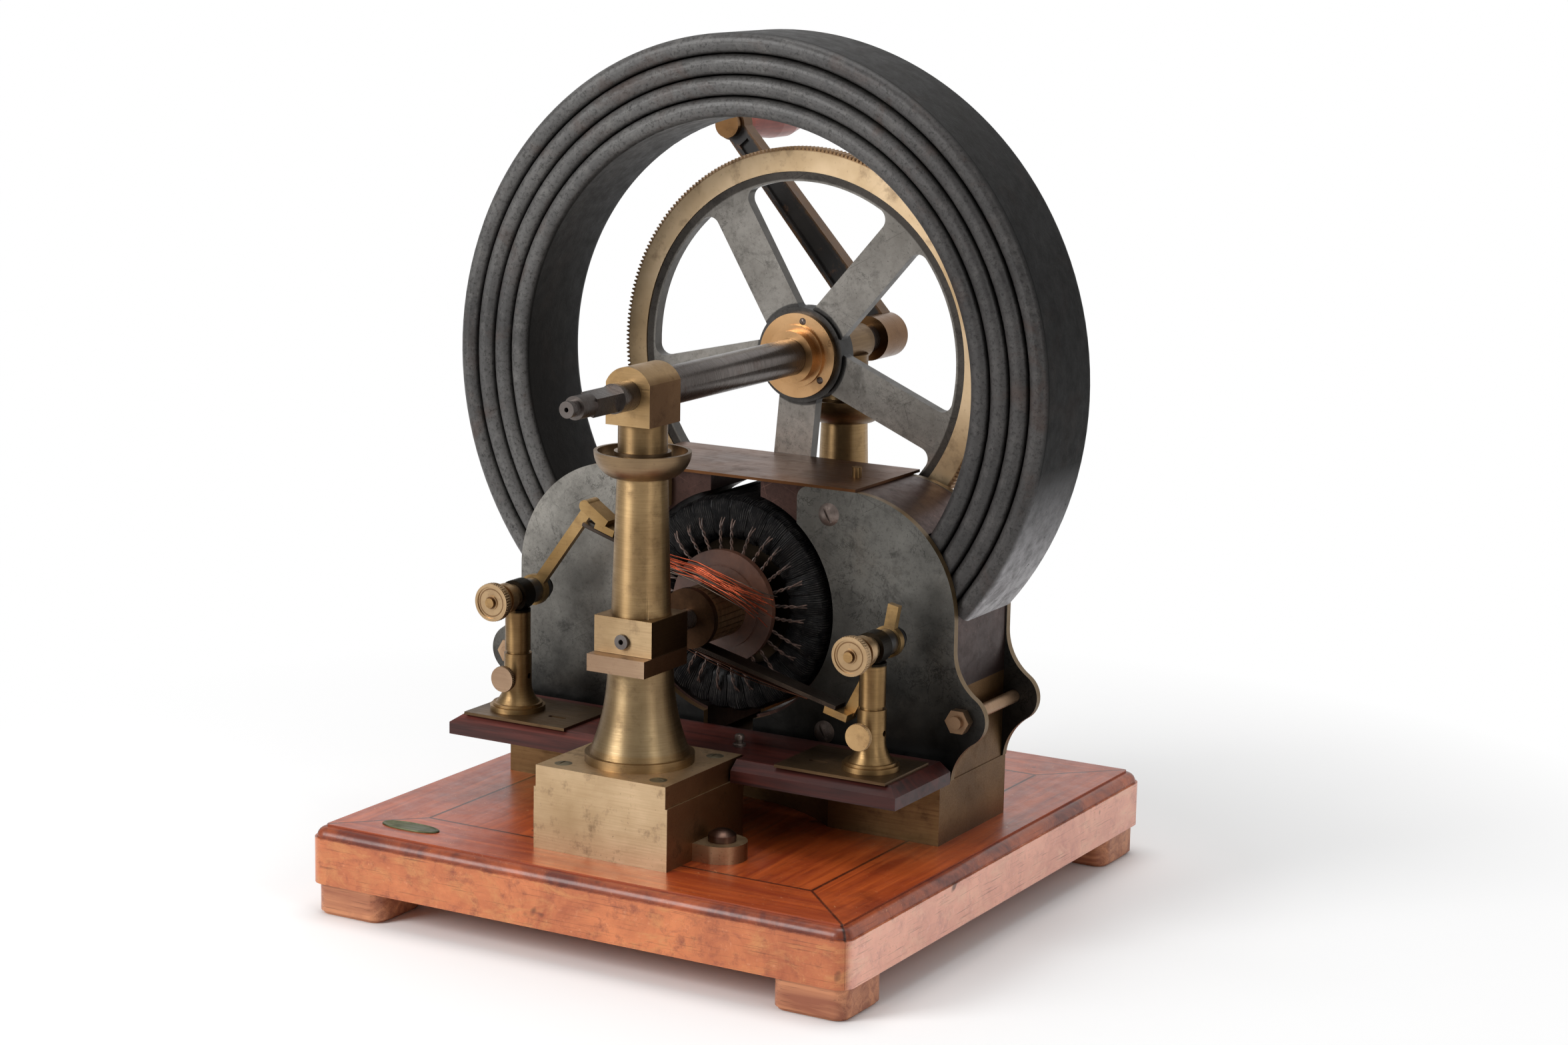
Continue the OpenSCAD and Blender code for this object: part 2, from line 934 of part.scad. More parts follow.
module pole_plate(y0, y1) {
    tip_round = 8;
    color(plate_grey)
        difference() {
            along_y(y0, y1)
                difference() {
                    intersection() {
                        union() {
                            shoulder_top(pole_half);
                            padded_side();
                        }
                        translate([0, bed_top])
                            square(far);
                    }
                    translate([0, axis_z])
                        circle(plate_bore_r);
                    translate([0, axis_z])
                        square([plate_tip_x, far]);
                    difference() {
                        translate([plate_tip_x - overlap, pole_top_z - tip_round])
                            square([tip_round + overlap, tip_round + overlap]);
                        translate([plate_tip_x + tip_round, pole_top_z - tip_round])
                            circle(tip_round);
                    }
                }
            screw_holes(y0 - overlap, y1 + overlap);
            bar_y(tie_r + seat_gap, y0 - overlap, y1 + overlap, tie_x, tie_z);
        }
}

module front_plate_right() {
    pole_plate(plate_front, pole_front);
}

module front_plate_left() {
    mirror([1, 0, 0])
        pole_plate(plate_front, pole_front);
}

module rear_plates() {
    for (m = [0, 1])
        mirror([m, 0, 0])
            pole_plate(pole_rear, plate_rear);
}

module tie_bolts() {
    nut_t = 7;
    tail = 10;
    nut_r = tie_nut / 2 / cos(30);
    color(brass)
        for (s = [-1, 1]) {
            bar_y(tie_r, plate_front - tail, plate_rear + tail, s * tie_x, tie_z);
            for (y = [plate_front - nut_t, plate_rear])
                translate([s * tie_x, y + nut_t, tie_z])
                    rotate([90, 0, 0])
                        cylinder(r = nut_r, h = nut_t, $fn = 6);
        }
}

module plate_screws() {
    shank_l = plate_t + plate_screw_depth;
    head_r = 8;
    head_h = 3;
    slot_turn = 60;
    color(steel)
        for (s = [-1, 1], z = plate_screw_z) {
            translate([s * plate_screw_x, plate_front, z])
                rotate([90, 0, 0])
                    slotted_screw(plate_screw_r, shank_l, head_r, head_h, -slot_turn);
            translate([s * plate_screw_x, plate_rear, z])
                rotate([-90, 0, 0])
                    slotted_screw(plate_screw_r, shank_l, head_r, head_h, slot_turn);
        }
}

// One leaf of the ring magnet, counted from the outside
module magnet_leaf(i) {
    r1 = magnet_r - (i - 1) * (leaf_t + leaf_gap);
    color(iron)
        translate([0, stack_mid, magnet_z])
            rotate([90, 0, 0])
                rotate([0, 0, -magnet_end])
                    rotate_extrude(angle = 180 + 2 * magnet_end)
                        translate([r1 - leaf_t / 2, 0])
                            rounded_rect(leaf_t, magnet_w, min(leaf_round, leaf_t / 2 - 0.5));
}

module guard_plate() {
    guard_over = 9;
    color(dark_brass)
        difference() {
            translate([-guard_half, plate_front, pole_top_z])
                cube([2 * guard_half, plate_rear + guard_over - plate_front, guard_t]);
            for (s = [-1, 1])
                translate([s * guard_pin_x, stack_mid, pole_top_z - overlap])
                    cylinder(r = guard_pin_r + seat_gap, h = guard_t + 2 * overlap);
        }
}

module guard_pins() {
    color(brass)
        for (s = [-1, 1])
            translate([s * guard_pin_x, stack_mid, pole_top_z - guard_pin_depth])
                cylinder(r = guard_pin_r, h = guard_pin_depth + guard_t + guard_pin_out);
}

// Drive: shaft, toothed wheel and crank
hub_seat_r = shaft_r + seat_gap;

// Shaft with a collar, a square, a round nose and a tip in front of its front bearing
module drive_shaft() {
    gap = 0.5;
    collar_l = 18;
    square_w = 13;
    square_l = 30;
    square_turn = 15;
    nose_r = 7.8;
    tip_l = 9;
    centre_r = 1.6;
    centre_depth = 8;
    collar_front = head_front_y - collar_l;
    square_front = collar_front - square_l;
    front_step = -front_pillar + head_d / 2 + gap;
    rear_step = rear_pillar - head_d / 2 - gap;
    color(steel)
        difference() {
            union() {
                turned_y(drive_z) {
                    step(0, tip_r, stub_tip_y, stub_tip_y + tip_l);
                    step(0, nose_r, stub_tip_y + tip_l, square_front + overlap);
                    step(0, journal_r, collar_front, front_step);
                    step(0, shaft_r, front_step, rear_step);
                    step(0, journal_r, rear_step, boss_rear);
                }
                translate([0, collar_front + overlap, drive_z])
                    rotate([90, 45 + square_turn, 0])
                        cylinder(r = square_w / sqrt(2), h = square_l + overlap, $fn = 4);
            }
            bar_y(centre_r, stub_tip_y - overlap, stub_tip_y + centre_depth, 0, drive_z);
        }
}

// Straight-flanked tooth outline of a gear with many teeth
backlash = 0.14 * gear_module;
tooth_add = gear_module;
tooth_ded = 1.25 * gear_module;
flank_slope = tan(20);

function gear_point(r, half, mid) = [r * cos(mid + half), r * sin(mid + half)];
function half_angle(w, r) = w / r * 180 / PI;

module toothed_disc() {
    rp = gear_teeth * gear_module / 2;
    half = PI * gear_module / 4 - backlash / 2;
    tip_half = half_angle(half - tooth_add * flank_slope, rp + tooth_add);
    root_half = half_angle(half + tooth_ded * flank_slope, rp - tooth_ded);
    pitch_angle = 360 / gear_teeth;
    polygon([
        for (i = [0 : gear_teeth - 1])
            let (mid = -90 + (i + 0.5) * pitch_angle)
                each [
                    gear_point(rp - tooth_ded, -root_half, mid),
                    gear_point(rp + tooth_add, -tip_half, mid),
                    gear_point(rp + tooth_add, tip_half, mid),
                    gear_point(rp - tooth_ded, root_half, mid)
                ]
    ]);
}

gear_root_r = gear_teeth * gear_module / 2 - tooth_ded;
ring_in = gear_root_r - gear_band;
rim_in = ring_in - rim_band;

module gear_ring() {
    color(bronze)
        translate([0, 0, drive_z])
            along_y(gear_front, gear_rear)
                difference() {
                    toothed_disc();
                    circle(ring_in);
                }
}

// Window between two spokes, with its middle along X
module spoke_window() {
    inner_round = 9;
    outer_round = 8;
    a = 180 / spoke_count;
    h = spoke_w / 2;
    along = [cos(a), sin(a)];
    across = [sin(a), -cos(a)];
    inner = [(h + inner_round) / sin(a), 0];
    t_in = inner[0] * cos(a);
    reach = rim_in - outer_round;
    t_out = sqrt(reach * reach - (h + outer_round) * (h + outer_round));
    outer = (h + outer_round) * across + t_out * along;
    edge_in = h * across + t_in * along;
    edge_out = h * across + t_out * along;
    translate(inner)
        circle(inner_round);
    for (s = [-1, 1])
        translate([outer[0], s * outer[1]])
            circle(outer_round);
    polygon([
        inner,
        edge_in,
        edge_out,
        outer,
        [outer[0], -outer[1]],
        [edge_out[0], -edge_out[1]],
        [edge_in[0], -edge_in[1]]
    ]);
    intersection() {
        circle(rim_in);
        polygon([
            outer,
            outer * 1.5,
            [outer[0], -outer[1]] * 1.5,
            [outer[0], -outer[1]]
        ]);
    }
}

spoke_angle = 121;
hub_front = gear_front - 2;
hub_rear = gear_rear + 4;
hub_screw_count = 3;
hub_screw_turn = 80;
hub_screw_r = 1.5;
hub_screw_at = 25;
hub_screw_depth = 8;
hub_flange_front = hub_front - 4.5;

module at_hub_screws() {
    for (i = [0 : hub_screw_count - 1])
        rotate([0, -hub_screw_turn - i * 360 / hub_screw_count, 0])
            translate([hub_screw_at, 0, 0])
                children();
}

module wheel_spider() {
    face_in = 1;
    color(plate_grey)
        translate([0, 0, drive_z])
            difference() {
                union() {
                    along_y(gear_front + face_in, gear_rear - face_in)
                        difference() {
                            circle(ring_in - seat_gap);
                            for (i = [0 : spoke_count - 1])
                                rotate(spoke_angle + (i + 0.5) * 360 / spoke_count)
                                    spoke_window();
                        }
                    bar_y(hub_r, hub_front, hub_rear);
                }
                bar_y(hub_seat_r, gear_front - far, gear_rear + far);
                at_hub_screws()
                    bar_y(hub_screw_r + seat_gap, hub_front - overlap, hub_front + hub_screw_depth);
            }
}

module hub_flange() {
    face_r = 30.2;
    shoulder_r = 22;
    shoulder_l = 2.5;
    neck_out_r = 18.5;
    neck_l = 10;
    color(bronze)
        difference() {
            turned_y(drive_z) {
                step(hub_seat_r, face_r, hub_flange_front, hub_front);
                step(hub_seat_r, shoulder_r, hub_flange_front - shoulder_l, hub_flange_front);
                step(hub_seat_r, neck_out_r, hub_flange_front - neck_l, hub_flange_front);
            }
            translate([0, 0, drive_z])
                at_hub_screws()
                    bar_y(hub_screw_r + seat_gap, hub_flange_front - overlap, hub_front + overlap);
        }
}

module hub_screws() {
    shank_l = hub_front - hub_flange_front + hub_screw_depth - 2;
    head_r = 2.6;
    head_h = 1.2;
    color(steel)
        translate([0, 0, drive_z])
            at_hub_screws()
                translate([0, hub_flange_front, 0])
                    rotate([90, 0, 0])
                        slotted_screw(hub_screw_r, shank_l, head_r, head_h, 30);
}

// Crank, drawn pointing along +X from the drive axis and then turned to its rest angle
pin_r = 5;
pin_boss_r = 12;
pin_end_r = 8;
pin_end_t = 4;
tenon_r = 4;
tenon_l = 4.5;

module at_crank() {
    translate([0, 0, drive_z])
        rotate([0, -crank_angle, 0])
            children();
}

// Round tenon that carries the arm in the boss, grown by gap
module tenon(gap, reach) {
    translate([boss_r - tenon_l - gap, (arm_front + arm_rear) / 2, 0])
        rotate([0, 90, 0])
            cylinder(r = tenon_r + gap, h = tenon_l + gap + reach);
}

module crank_boss() {
    color(bronze)
        difference() {
            turned_y(drive_z)
                step(journal_r + seat_gap, boss_r, boss_front, boss_rear);
            at_crank()
                tenon(seat_gap, overlap);
        }
}

// Tapered bar of the crank between two distances from the drive axis
module crank_bar(x0, x1, w0, w1) {
    polygon([[x0, -w0 / 2], [x1, -w1 / 2], [x1, w1 / 2], [x0, w0 / 2]]);
}

module crank_arm() {
    flute_depth = 3;
    flute_in = boss_r + 12;
    flute_out = crank_r - pin_boss_r - 5;
    arm_w0 = 24;
    arm_w1 = 17;
    land = 4;
    color(ebonite)
        at_crank() {
            difference() {
                along_y(arm_front, arm_rear) {
                    crank_bar(0, crank_r, arm_w0, arm_w1);
                    translate([crank_r, 0])
                        circle(pin_boss_r);
                }
                bar_y(boss_r + seat_gap, arm_front - overlap, arm_rear + overlap);
                bar_y(pin_r + seat_gap, arm_front - overlap, arm_rear + overlap, crank_r, 0);
                for (y = [arm_front - overlap, arm_rear - flute_depth])
                    along_y(y, y + flute_depth + overlap)
                        crank_bar(flute_in, flute_out, arm_w0 - 2 * land, arm_w1 - 2 * land);
            }
            tenon(0, 3);
        }
}

module crank_pin() {
    nut_r = 10;
    nut_t = 6;
    color(bronze)
        at_crank()
            turned_y(0, crank_r) {
                step(0, nut_r, arm_front - nut_t, arm_front);
                step(0, pin_r, arm_front, grip_rear - pin_end_t);
                step(0, pin_end_r, grip_rear - pin_end_t, grip_rear);
            }
}

module handle_grip() {
    end_depth = pin_end_t + 1;
    neck = 9.5;
    bead_l = 6;
    tail_l = 14;
    tail_in = 3;
    swell = 0.55;
    color(wood_dark)
        at_crank()
            turned_y(0, crank_r)
                difference() {
                    polygon([
                        [0, grip_front],
                        [neck, grip_front],
                        [neck + 1, grip_front + bead_l],
                        [grip_r, grip_front + grip_l * swell],
                        [grip_r, grip_rear - tail_l],
                        [grip_r - tail_in, grip_rear],
                        [0, grip_rear]
                    ]);
                    step(0, pin_r + run_gap, grip_front - overlap, grip_rear + overlap);
                    step(0, pin_end_r + clear_gap, grip_rear - end_depth, grip_rear + overlap);
                }
}

// Armature
shaft_in_r = arm_shaft_r + 2;

module armature_shaft() {
    gap = 0.5;
    proud = 2.5;
    centre_r = 1.8;
    centre_depth = 6;
    front_end = -front_pillar - box_half - proud;
    front_step = -front_pillar + box_half + gap;
    rear_step = rear_pillar - box_half - gap;
    color(steel)
        difference() {
            turned_y(axis_z) {
                step(0, arm_shaft_r, front_end, front_step);
                step(0, shaft_in_r, front_step, rear_step);
                step(0, arm_shaft_r, rear_step, rear_pillar + box_half);
            }
            bar_y(centre_r, front_end - overlap, front_end + centre_depth, 0, axis_z);
        }
}

// Involute flanks of the pinion, from its root to its tip
pinion_r = pinion_teeth * gear_module / 2;
pinion_base = pinion_r * cos(20);
function roll(r) = r <= pinion_base ? 0 : sqrt(r * r / (pinion_base * pinion_base) - 1);
function involute(r) = roll(r) * 180 / PI - atan(roll(r));

module pinion() {
    half = half_angle(PI * gear_module / 4 - backlash / 2, pinion_r);
    pitch_angle = 360 / pinion_teeth;
    radii = [for (k = [0 : 3]) pinion_r - tooth_ded + k * (tooth_ded + tooth_add) / 3];
    halves = [for (r = radii) half + involute(pinion_r) - involute(r)];
    color(steel)
        translate([0, 0, axis_z])
            along_y(gear_front - 1, gear_rear + 1)
                difference() {
                    polygon([
                        for (i = [0 : pinion_teeth - 1])
                            let (mid = 90 + i * pitch_angle)
                                each concat(
                                    [for (k = [0 : 3]) gear_point(radii[k], -halves[k], mid)],
                                    [for (k = [3 : -1 : 0]) gear_point(radii[k], halves[k], mid)]
                                )
                    ]);
                    circle(shaft_in_r + seat_gap);
                }
}

core_in_r = ring_in_r + winding_t;
core_out_r = ring_r - winding_t;

module ring_core() {
    color(iron)
        turned_y(axis_z)
            step(core_in_r, core_out_r, ring_front + winding_t, ring_rear - winding_t);
}

module ring_coils() {
    coil_round = 6;
    pitch_angle = 360 / coil_count;
    slot_angle = 0.8;
    color(ebonite)
        translate([0, 0, axis_z])
            rotate([-90, 0, 0])
                for (i = [0 : coil_count - 1])
                    rotate(i * pitch_angle + slot_angle / 2)
                        rotate_extrude(angle = pitch_angle - slot_angle)
                            difference() {
                                translate([(ring_in_r + ring_r) / 2, stack_mid])
                                    rounded_rect(ring_r - ring_in_r, ring_rear - ring_front, coil_round);
                                step(
                                    core_in_r - seat_gap,
                                    core_out_r + seat_gap,
                                    ring_front + winding_t - seat_gap,
                                    ring_rear - winding_t + seat_gap
                                );
                            }
}

module ring_hub() {
    web_half = 26;
    barrel_r = 16;
    rear_gap = 1.5;
    color(dark_brass)
        turned_y(axis_z) {
            step(shaft_in_r + seat_gap, barrel_r, flange_rear + seat_gap, gear_front - rear_gap);
            step(shaft_in_r + seat_gap, ring_in_r - clear_gap, stack_mid - web_half, stack_mid + web_half);
        }
}

// Barrel of the commutator, with an end ring in front and slots between its bars
module commutator() {
    end_ring = 5;
    slot_w = 0.8;
    slot_depth = 1;
    slot_margin = 3;
    slot_l = commutator_l - end_ring - 2 * slot_margin;
    slot_front = commutator_front + end_ring + slot_margin;
    color(dark_brass)
        difference() {
            turned_y(axis_z) {
                step(shaft_in_r + seat_gap, commutator_r, commutator_front, flange_front);
                step(shaft_in_r + seat_gap, commutator_r + 1, commutator_front, commutator_front + end_ring);
            }
            translate([0, 0, axis_z])
                for (i = [0 : coil_count - 1])
                    rotate([0, (i + 0.5) * 360 / coil_count, 0])
                        translate([commutator_r - slot_depth, slot_front, -slot_w / 2])
                            cube([slot_depth + overlap, slot_l, slot_w]);
        }
}

module commutator_flange() {
    bead_r = commutator_r + 9;
    bead_t = 2;
    color(fibre)
        turned_y(axis_z) {
            step(shaft_in_r + seat_gap, flange_r, flange_front, flange_rear);
            step(commutator_r + seat_gap, bead_r, flange_front - bead_t, flange_front);
        }
}

// Radial wires from the coils to the commutator's flange, one for each coil
module coil_leads() {
    lead_over = 4;
    lead_in = flange_r - lead_over;
    lead_out = ring_in_r + 14;
    color(copper)
        translate([0, (ring_front + flange_rear) / 2, axis_z])
            for (i = [0 : coil_count - 1])
                rotate([0, -(i + 0.5) * 360 / coil_count, 0])
                    translate([lead_in, 0, 0])
                        rotate([0, 90, 0])
                            cylinder(r = lead_r, h = lead_out - lead_in);
}

// Terminal posts, drawn about their own axis with z from the terminal plate
post_flange_h = 5.5;
wire_z = terminal_plate_z + 25;
groove_z = terminal_plate_z + 41;
thumb_shank_r = 1.8;
thumb_head_y = -20;
thumb_head_t = 4;
thumb_head_r = 9;

module at_post(s) {
    translate([s * post_x, post_y, 0])
        children();
}

module post(s) {
    groove = 1;
    foot_step = 2;
    flare_h = 14;
    foot_top = terminal_plate_z + post_flange_h;
    foot_r = post_flange_r - 2 * foot_step;
    shoulder_z = post_head_z - sleeve_r - 1;
    top_r = post_head_half - 0.5;
    color(brass)
        at_post(s)
            difference() {
                union() {
                    rotate_extrude() {
                        step(0, post_flange_r, terminal_plate_z, foot_top - foot_step);
                        step(0, post_flange_r - foot_step, terminal_plate_z, foot_top);
                        flare(post_low_r, foot_r - post_low_r, foot_top, foot_top + flare_h);
                        step(0, post_low_r, foot_top, groove_z);
                        step(0, post_high_r - groove, groove_z, groove_z + 2 * groove);
                        step(0, post_high_r, groove_z + 2 * groove, shoulder_z);
                        step(0, top_r, groove_z + 2 * groove, post_head_z);
                    }
                    bar_y(post_head_r, -post_head_half, post_head_half, 0, post_head_z);
                    bar_y(spindle_r, -spindle_front, spindle_rear, 0, post_head_z);
                    bar_y(spindle_nut_r, spindle_rear - spindle_nut_l, spindle_rear, 0, post_head_z);
                }
                translate([-far / 2, 0, wire_z])
                    rotate([0, 90, 0])
                        cylinder(r = wire_r, h = far);
                bar_y(thumb_shank_r + run_gap, -far, 0, 0, wire_z);
            }
}

module post_left() {
    post(-1);
}

module post_right() {
    post(1);
}

// Knob with a dished face, a waist and a ring behind it
module knob(s) {
    rim_t = 6;
    dish = 0.8;
    dish_in = spindle_r + 1.5;
    dish_out = knob_r - 2;
    waist_r = knob_r - 5;
    ring_out = knob_r - 2.5;
    ring_at = knob_front + 13;
    ring_t = 6;
    color(brass)
        translate([0, post_y, 0])
            turned_y(post_head_z, s * post_x)
                difference() {
                    union() {
                        step(0, knob_r, knob_front, knob_front + rim_t);
                        step(0, waist_r, knob_front, knob_rear);
                        step(0, ring_out, ring_at, ring_at + ring_t);
                    }
                    step(dish_in, dish_out, knob_front - overlap, knob_front + dish);
                    step(0, spindle_r + run_gap, knob_front - overlap, knob_rear + overlap);
                }
}

module knob_left() {
    knob(-1);
}

module knob_right() {
    knob(1);
}

module sleeve(s) {
    color(ebonite)
        turned_y(post_head_z, s * post_x)
            step(spindle_r + run_gap, sleeve_r, sleeve_front, sleeve_rear);
}

module sleeve_left() {
    sleeve(-1);
}

module sleeve_right() {
    sleeve(1);
}

// Brushes: a line that passes the commutator with a small gap, tilted to the post's side
brush_off = commutator_r + clear_gap + brush_t / 2;
arm_w = 8;
arm_rear_y = brush_mid + brush_w / 2;
arm_front_y = arm_rear_y - 5;
jaw_t = 5;
elbow_left = -108;
elbow_left_rise = 9;
elbow_right = 124;
jaw_left = [-96, -80];
jaw_right = [110, 128];
tail_right_l = 26;
tail_lean = 10;
brush_left_tilt = -17.4;
brush_right_tilt = -14;
brush_left_start = -106;
brush_right_start = 118;
brush_tail = 40;
brush_right_end = -12;

// Frame of a brush: X along the brush, Y away from the commutator, origin at the tangent point
module brush_frame(tilt, side) {
    translate([0, axis_z])
        rotate(tilt)
            translate([0, side * brush_off])
                children();
}

function turn(v, a) = [v[0] * cos(a) - v[1] * sin(a), v[0] * sin(a) + v[1] * cos(a)];
function brush_spot(tilt, side, x, off) = [0, axis_z] + turn([x, side * (brush_off + off)], tilt);

module arm_strip(from, to) {
    d = to - from;
    translate(from)
        rotate(atan2(d[1], d[0]))
            translate([0, -arm_w / 2])
                square([norm(d), arm_w]);
}

// Arm of a brush: ring on the sleeve, strip to the elbow, finger to the jaw along the brush, and a free tail
module brush_arm(s, tilt, side, elbow_x, elbow_rise, jaw, tail_l) {
    ring_wall = 2;
    knuckle_r = arm_w / 2 + 0.4;
    pivot = [s * post_x, post_head_z];
    jaw_off = brush_t / 2 + jaw_t / 2;
    elbow = brush_spot(tilt, side, elbow_x, jaw_off + elbow_rise);
    finger_end = brush_spot(tilt, side, jaw[1] - arm_w, jaw_off + 3);
    color(brass)
        difference() {
            union() {
                along_y(arm_front_y, arm_rear_y) {
                    translate(pivot)
                        circle(sleeve_r + ring_wall);
                    arm_strip(pivot, elbow);
                    if (tail_l > 0)
                        arm_strip(pivot, pivot + tail_l * [s * sin(tail_lean), cos(tail_lean)]);
                }
                along_y(brush_mid - brush_w / 2, brush_mid + brush_w / 2) {
                    brush_frame(tilt, side)
                        translate([jaw[0], side > 0 ? brush_t / 2 : -brush_t / 2 - jaw_t])
                            square([jaw[1] - jaw[0], jaw_t]);
                    if (elbow_rise > 0) {
                        translate(elbow)
                            circle(knuckle_r);
                        arm_strip(elbow, finger_end);
                    }
                }
            }
            bar_y(sleeve_r + seat_gap, brush_mid - far, brush_mid + far, pivot[0], pivot[1]);
        }
}

module arm_left() {
    brush_arm(-1, brush_left_tilt, 1, elbow_left, elbow_left_rise, jaw_left, 0);
}

module arm_right() {
    brush_arm(1, brush_right_tilt, -1, elbow_right, 0, jaw_right, tail_right_l);
}

module brush(x0, x1, tilt, side, tint) {
    color(tint)
        along_y(brush_mid - brush_w / 2, brush_mid + brush_w / 2)
            brush_frame(tilt, side)
                translate([x0, -brush_t / 2])
                    square([x1 - x0, brush_t]);
}

module brush_left() {
    brush(brush_left_start, brush_tail, brush_left_tilt, 1, copper);
}

module brush_right() {
    brush(brush_right_end, brush_right_start, brush_right_tilt, -1, steel);
}

module thumb_screw(s) {
    color(brass)
        at_post(s) {
            bar_y(thumb_head_r, thumb_head_y, thumb_head_y + thumb_head_t, 0, wire_z);
            bar_y(thumb_shank_r, thumb_head_y + thumb_head_t, -wire_r, 0, wire_z);
        }
}

module thumb_screw_left() {
    thumb_screw(-1);
}

module thumb_screw_right() {
    thumb_screw(1);
}

placed() base_frame();
placed() base_panel();
placed() base_feet();
placed() bed();
placed() terminal_board();
placed() terminal_plates();
placed() front_block();
placed() front_column();
placed() front_head();
placed() rear_block();
placed() rear_column();
placed() rear_head();
placed() top_plates();
placed() bearing_lips();
placed() drip_cups();
placed() pillar_screws();
placed() lug_bolts();
placed() pole_left();
placed() pole_right();
placed() pole_spacers();
placed() front_plate_left();
placed() front_plate_right();
placed() rear_plates();
placed() tie_bolts();
placed() plate_screws();
placed() magnet_leaf(1);  // magnet_leaf_1
placed() magnet_leaf(2);  // magnet_leaf_2
placed() magnet_leaf(3);  // magnet_leaf_3
placed() magnet_leaf(4);  // magnet_leaf_4
placed() guard_plate();
placed() guard_pins();
placed() drive_shaft();
placed() gear_ring();
placed() wheel_spider();
placed() hub_flange();
placed() hub_screws();
placed() crank_boss();
placed() crank_arm();
placed() crank_pin();
placed() handle_grip();
placed() armature_shaft();
placed() pinion();
placed() ring_core();
placed() ring_coils();
placed() ring_hub();
placed() commutator();
placed() commutator_flange();
placed() coil_leads();
placed() post_left();
placed() post_right();
placed() knob_left();
placed() knob_right();
placed() sleeve_left();
placed() sleeve_right();
placed() arm_left();
placed() arm_right();
placed() brush_left();
placed() brush_right();
placed() thumb_screw_left();
placed() thumb_screw_right();
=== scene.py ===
import json
import math
import random

import bmesh
import bpy
from mathutils import Matrix, Vector


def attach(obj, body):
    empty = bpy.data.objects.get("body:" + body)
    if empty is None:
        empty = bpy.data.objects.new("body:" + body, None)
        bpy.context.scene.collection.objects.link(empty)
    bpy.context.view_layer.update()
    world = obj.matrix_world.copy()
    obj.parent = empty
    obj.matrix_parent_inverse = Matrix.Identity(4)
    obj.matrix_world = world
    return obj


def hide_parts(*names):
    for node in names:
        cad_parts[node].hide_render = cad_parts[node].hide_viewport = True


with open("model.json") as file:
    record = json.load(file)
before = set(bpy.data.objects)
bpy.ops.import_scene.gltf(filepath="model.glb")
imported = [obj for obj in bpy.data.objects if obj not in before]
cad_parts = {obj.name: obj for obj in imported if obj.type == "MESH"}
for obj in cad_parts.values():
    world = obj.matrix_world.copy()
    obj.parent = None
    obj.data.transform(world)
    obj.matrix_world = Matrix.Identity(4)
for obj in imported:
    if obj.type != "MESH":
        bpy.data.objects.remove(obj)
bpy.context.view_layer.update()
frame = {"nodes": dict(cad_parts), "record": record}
nodes = frame["nodes"]
random.seed(7)

MM = 0.001

# Places repeated from the part's source, in millimetres of the shared frame
AXIS_Z = 205.6
DRIVE_Z = 369.6
STACK_MID_Y = -7.0
BOARD_MID_Y = -29.75
DECK_Z = 62.5
PANEL_HALF_X = 151.0
PANEL_HALF_Y = 166.0
TERMINAL_TOP_Z = 119.5
RING_FRONT_Y = -53.25
RING_REAR_Y = 39.25
RING_IN_R = 46.0
RING_OUT_R = 77.0
COIL_COUNT = 28
TURN_LINES = 280
FLANGE_REAR_Y = -55.45
COMMUTATOR_FRONT_Y = -105.45
POST_X = 142.0
POST_HEAD_Z = 204.1
WIRE_Z = 146.5
BARREL_DARK_Y = -111.0
BARREL_R = 12.0
KNOB_R = 13.25
KNOB_FRONT_Y = -135.65
KNOB_RIM_T = 6.0
THUMB_R = 9.0
THUMB_FRONT_Y = -122.25
THUMB_T = 4.0
BRUSH_MID_Y = -86.35
BRUSH_W = 14.0
BRUSH_T = 3.0
BRUSH_OFF = 21.9
WIRE_START = -66.0
BRUSH_LEFT_TILT = -17.4
BRUSH_RIGHT_TILT = -14.0
CRANK_ANGLE = 131.5
CRANK_R = 199.0
CRANK_W_IN = 24.0
CRANK_W_OUT = 17.0
FLARE_LOW_Z = 130.0
BOX_LOW_Z = 196.6
BOX_TOP_Z = 221.1
TOOTH_ROOT_R = 144.3
RIM_DARK_R = 124.6
MAGNET_Z = 365.0
MAGNET_R = 234.0
MAGNET_IN_R = 177.0
LEAF_FRONT = 35.0
LEAF_BEVEL = 3.5
LEAF_BARE_LOW_Z = 225.0
LEAF_BARE_TOP_Z = 320.0
MOULDING_LOW_Z = 53.4
MOULDING_TOP_Z = 60.6
END_RING_W = 5.0
PLATE_LOW_Z = 118.0
SCREW_SHADE_Z = 150.0
SHADE_TOP_Z = 232.0
SPIDER_HUB_R = 36.0
REAR_CUP_Y = 60.0
REAR_BOSS_Y = 140.0
FAR_Y = 300.0
BOARD_END_X = 200.0
WIRE_BRIGHT_X = 4.0
LEAD_IN_R = 36.0
STUD_X, STUD_Y = 36.8, -96.2
TAG_X, TAG_Y = -148.0, -221.75

# The photograph's camera: degrees, millimetres of the shared frame, and the photo's own pixels
CAMERA_ANGLES = (29.72, 11.24, 1.05)
CAMERA_TARGET = (30.72, -29.75, 263.54)
CAMERA_DISTANCE = 2295.5
FOCAL_PIXELS = 4971.6
PHOTO_WIDTH = 2352.0
SENSOR_WIDTH = 36.0


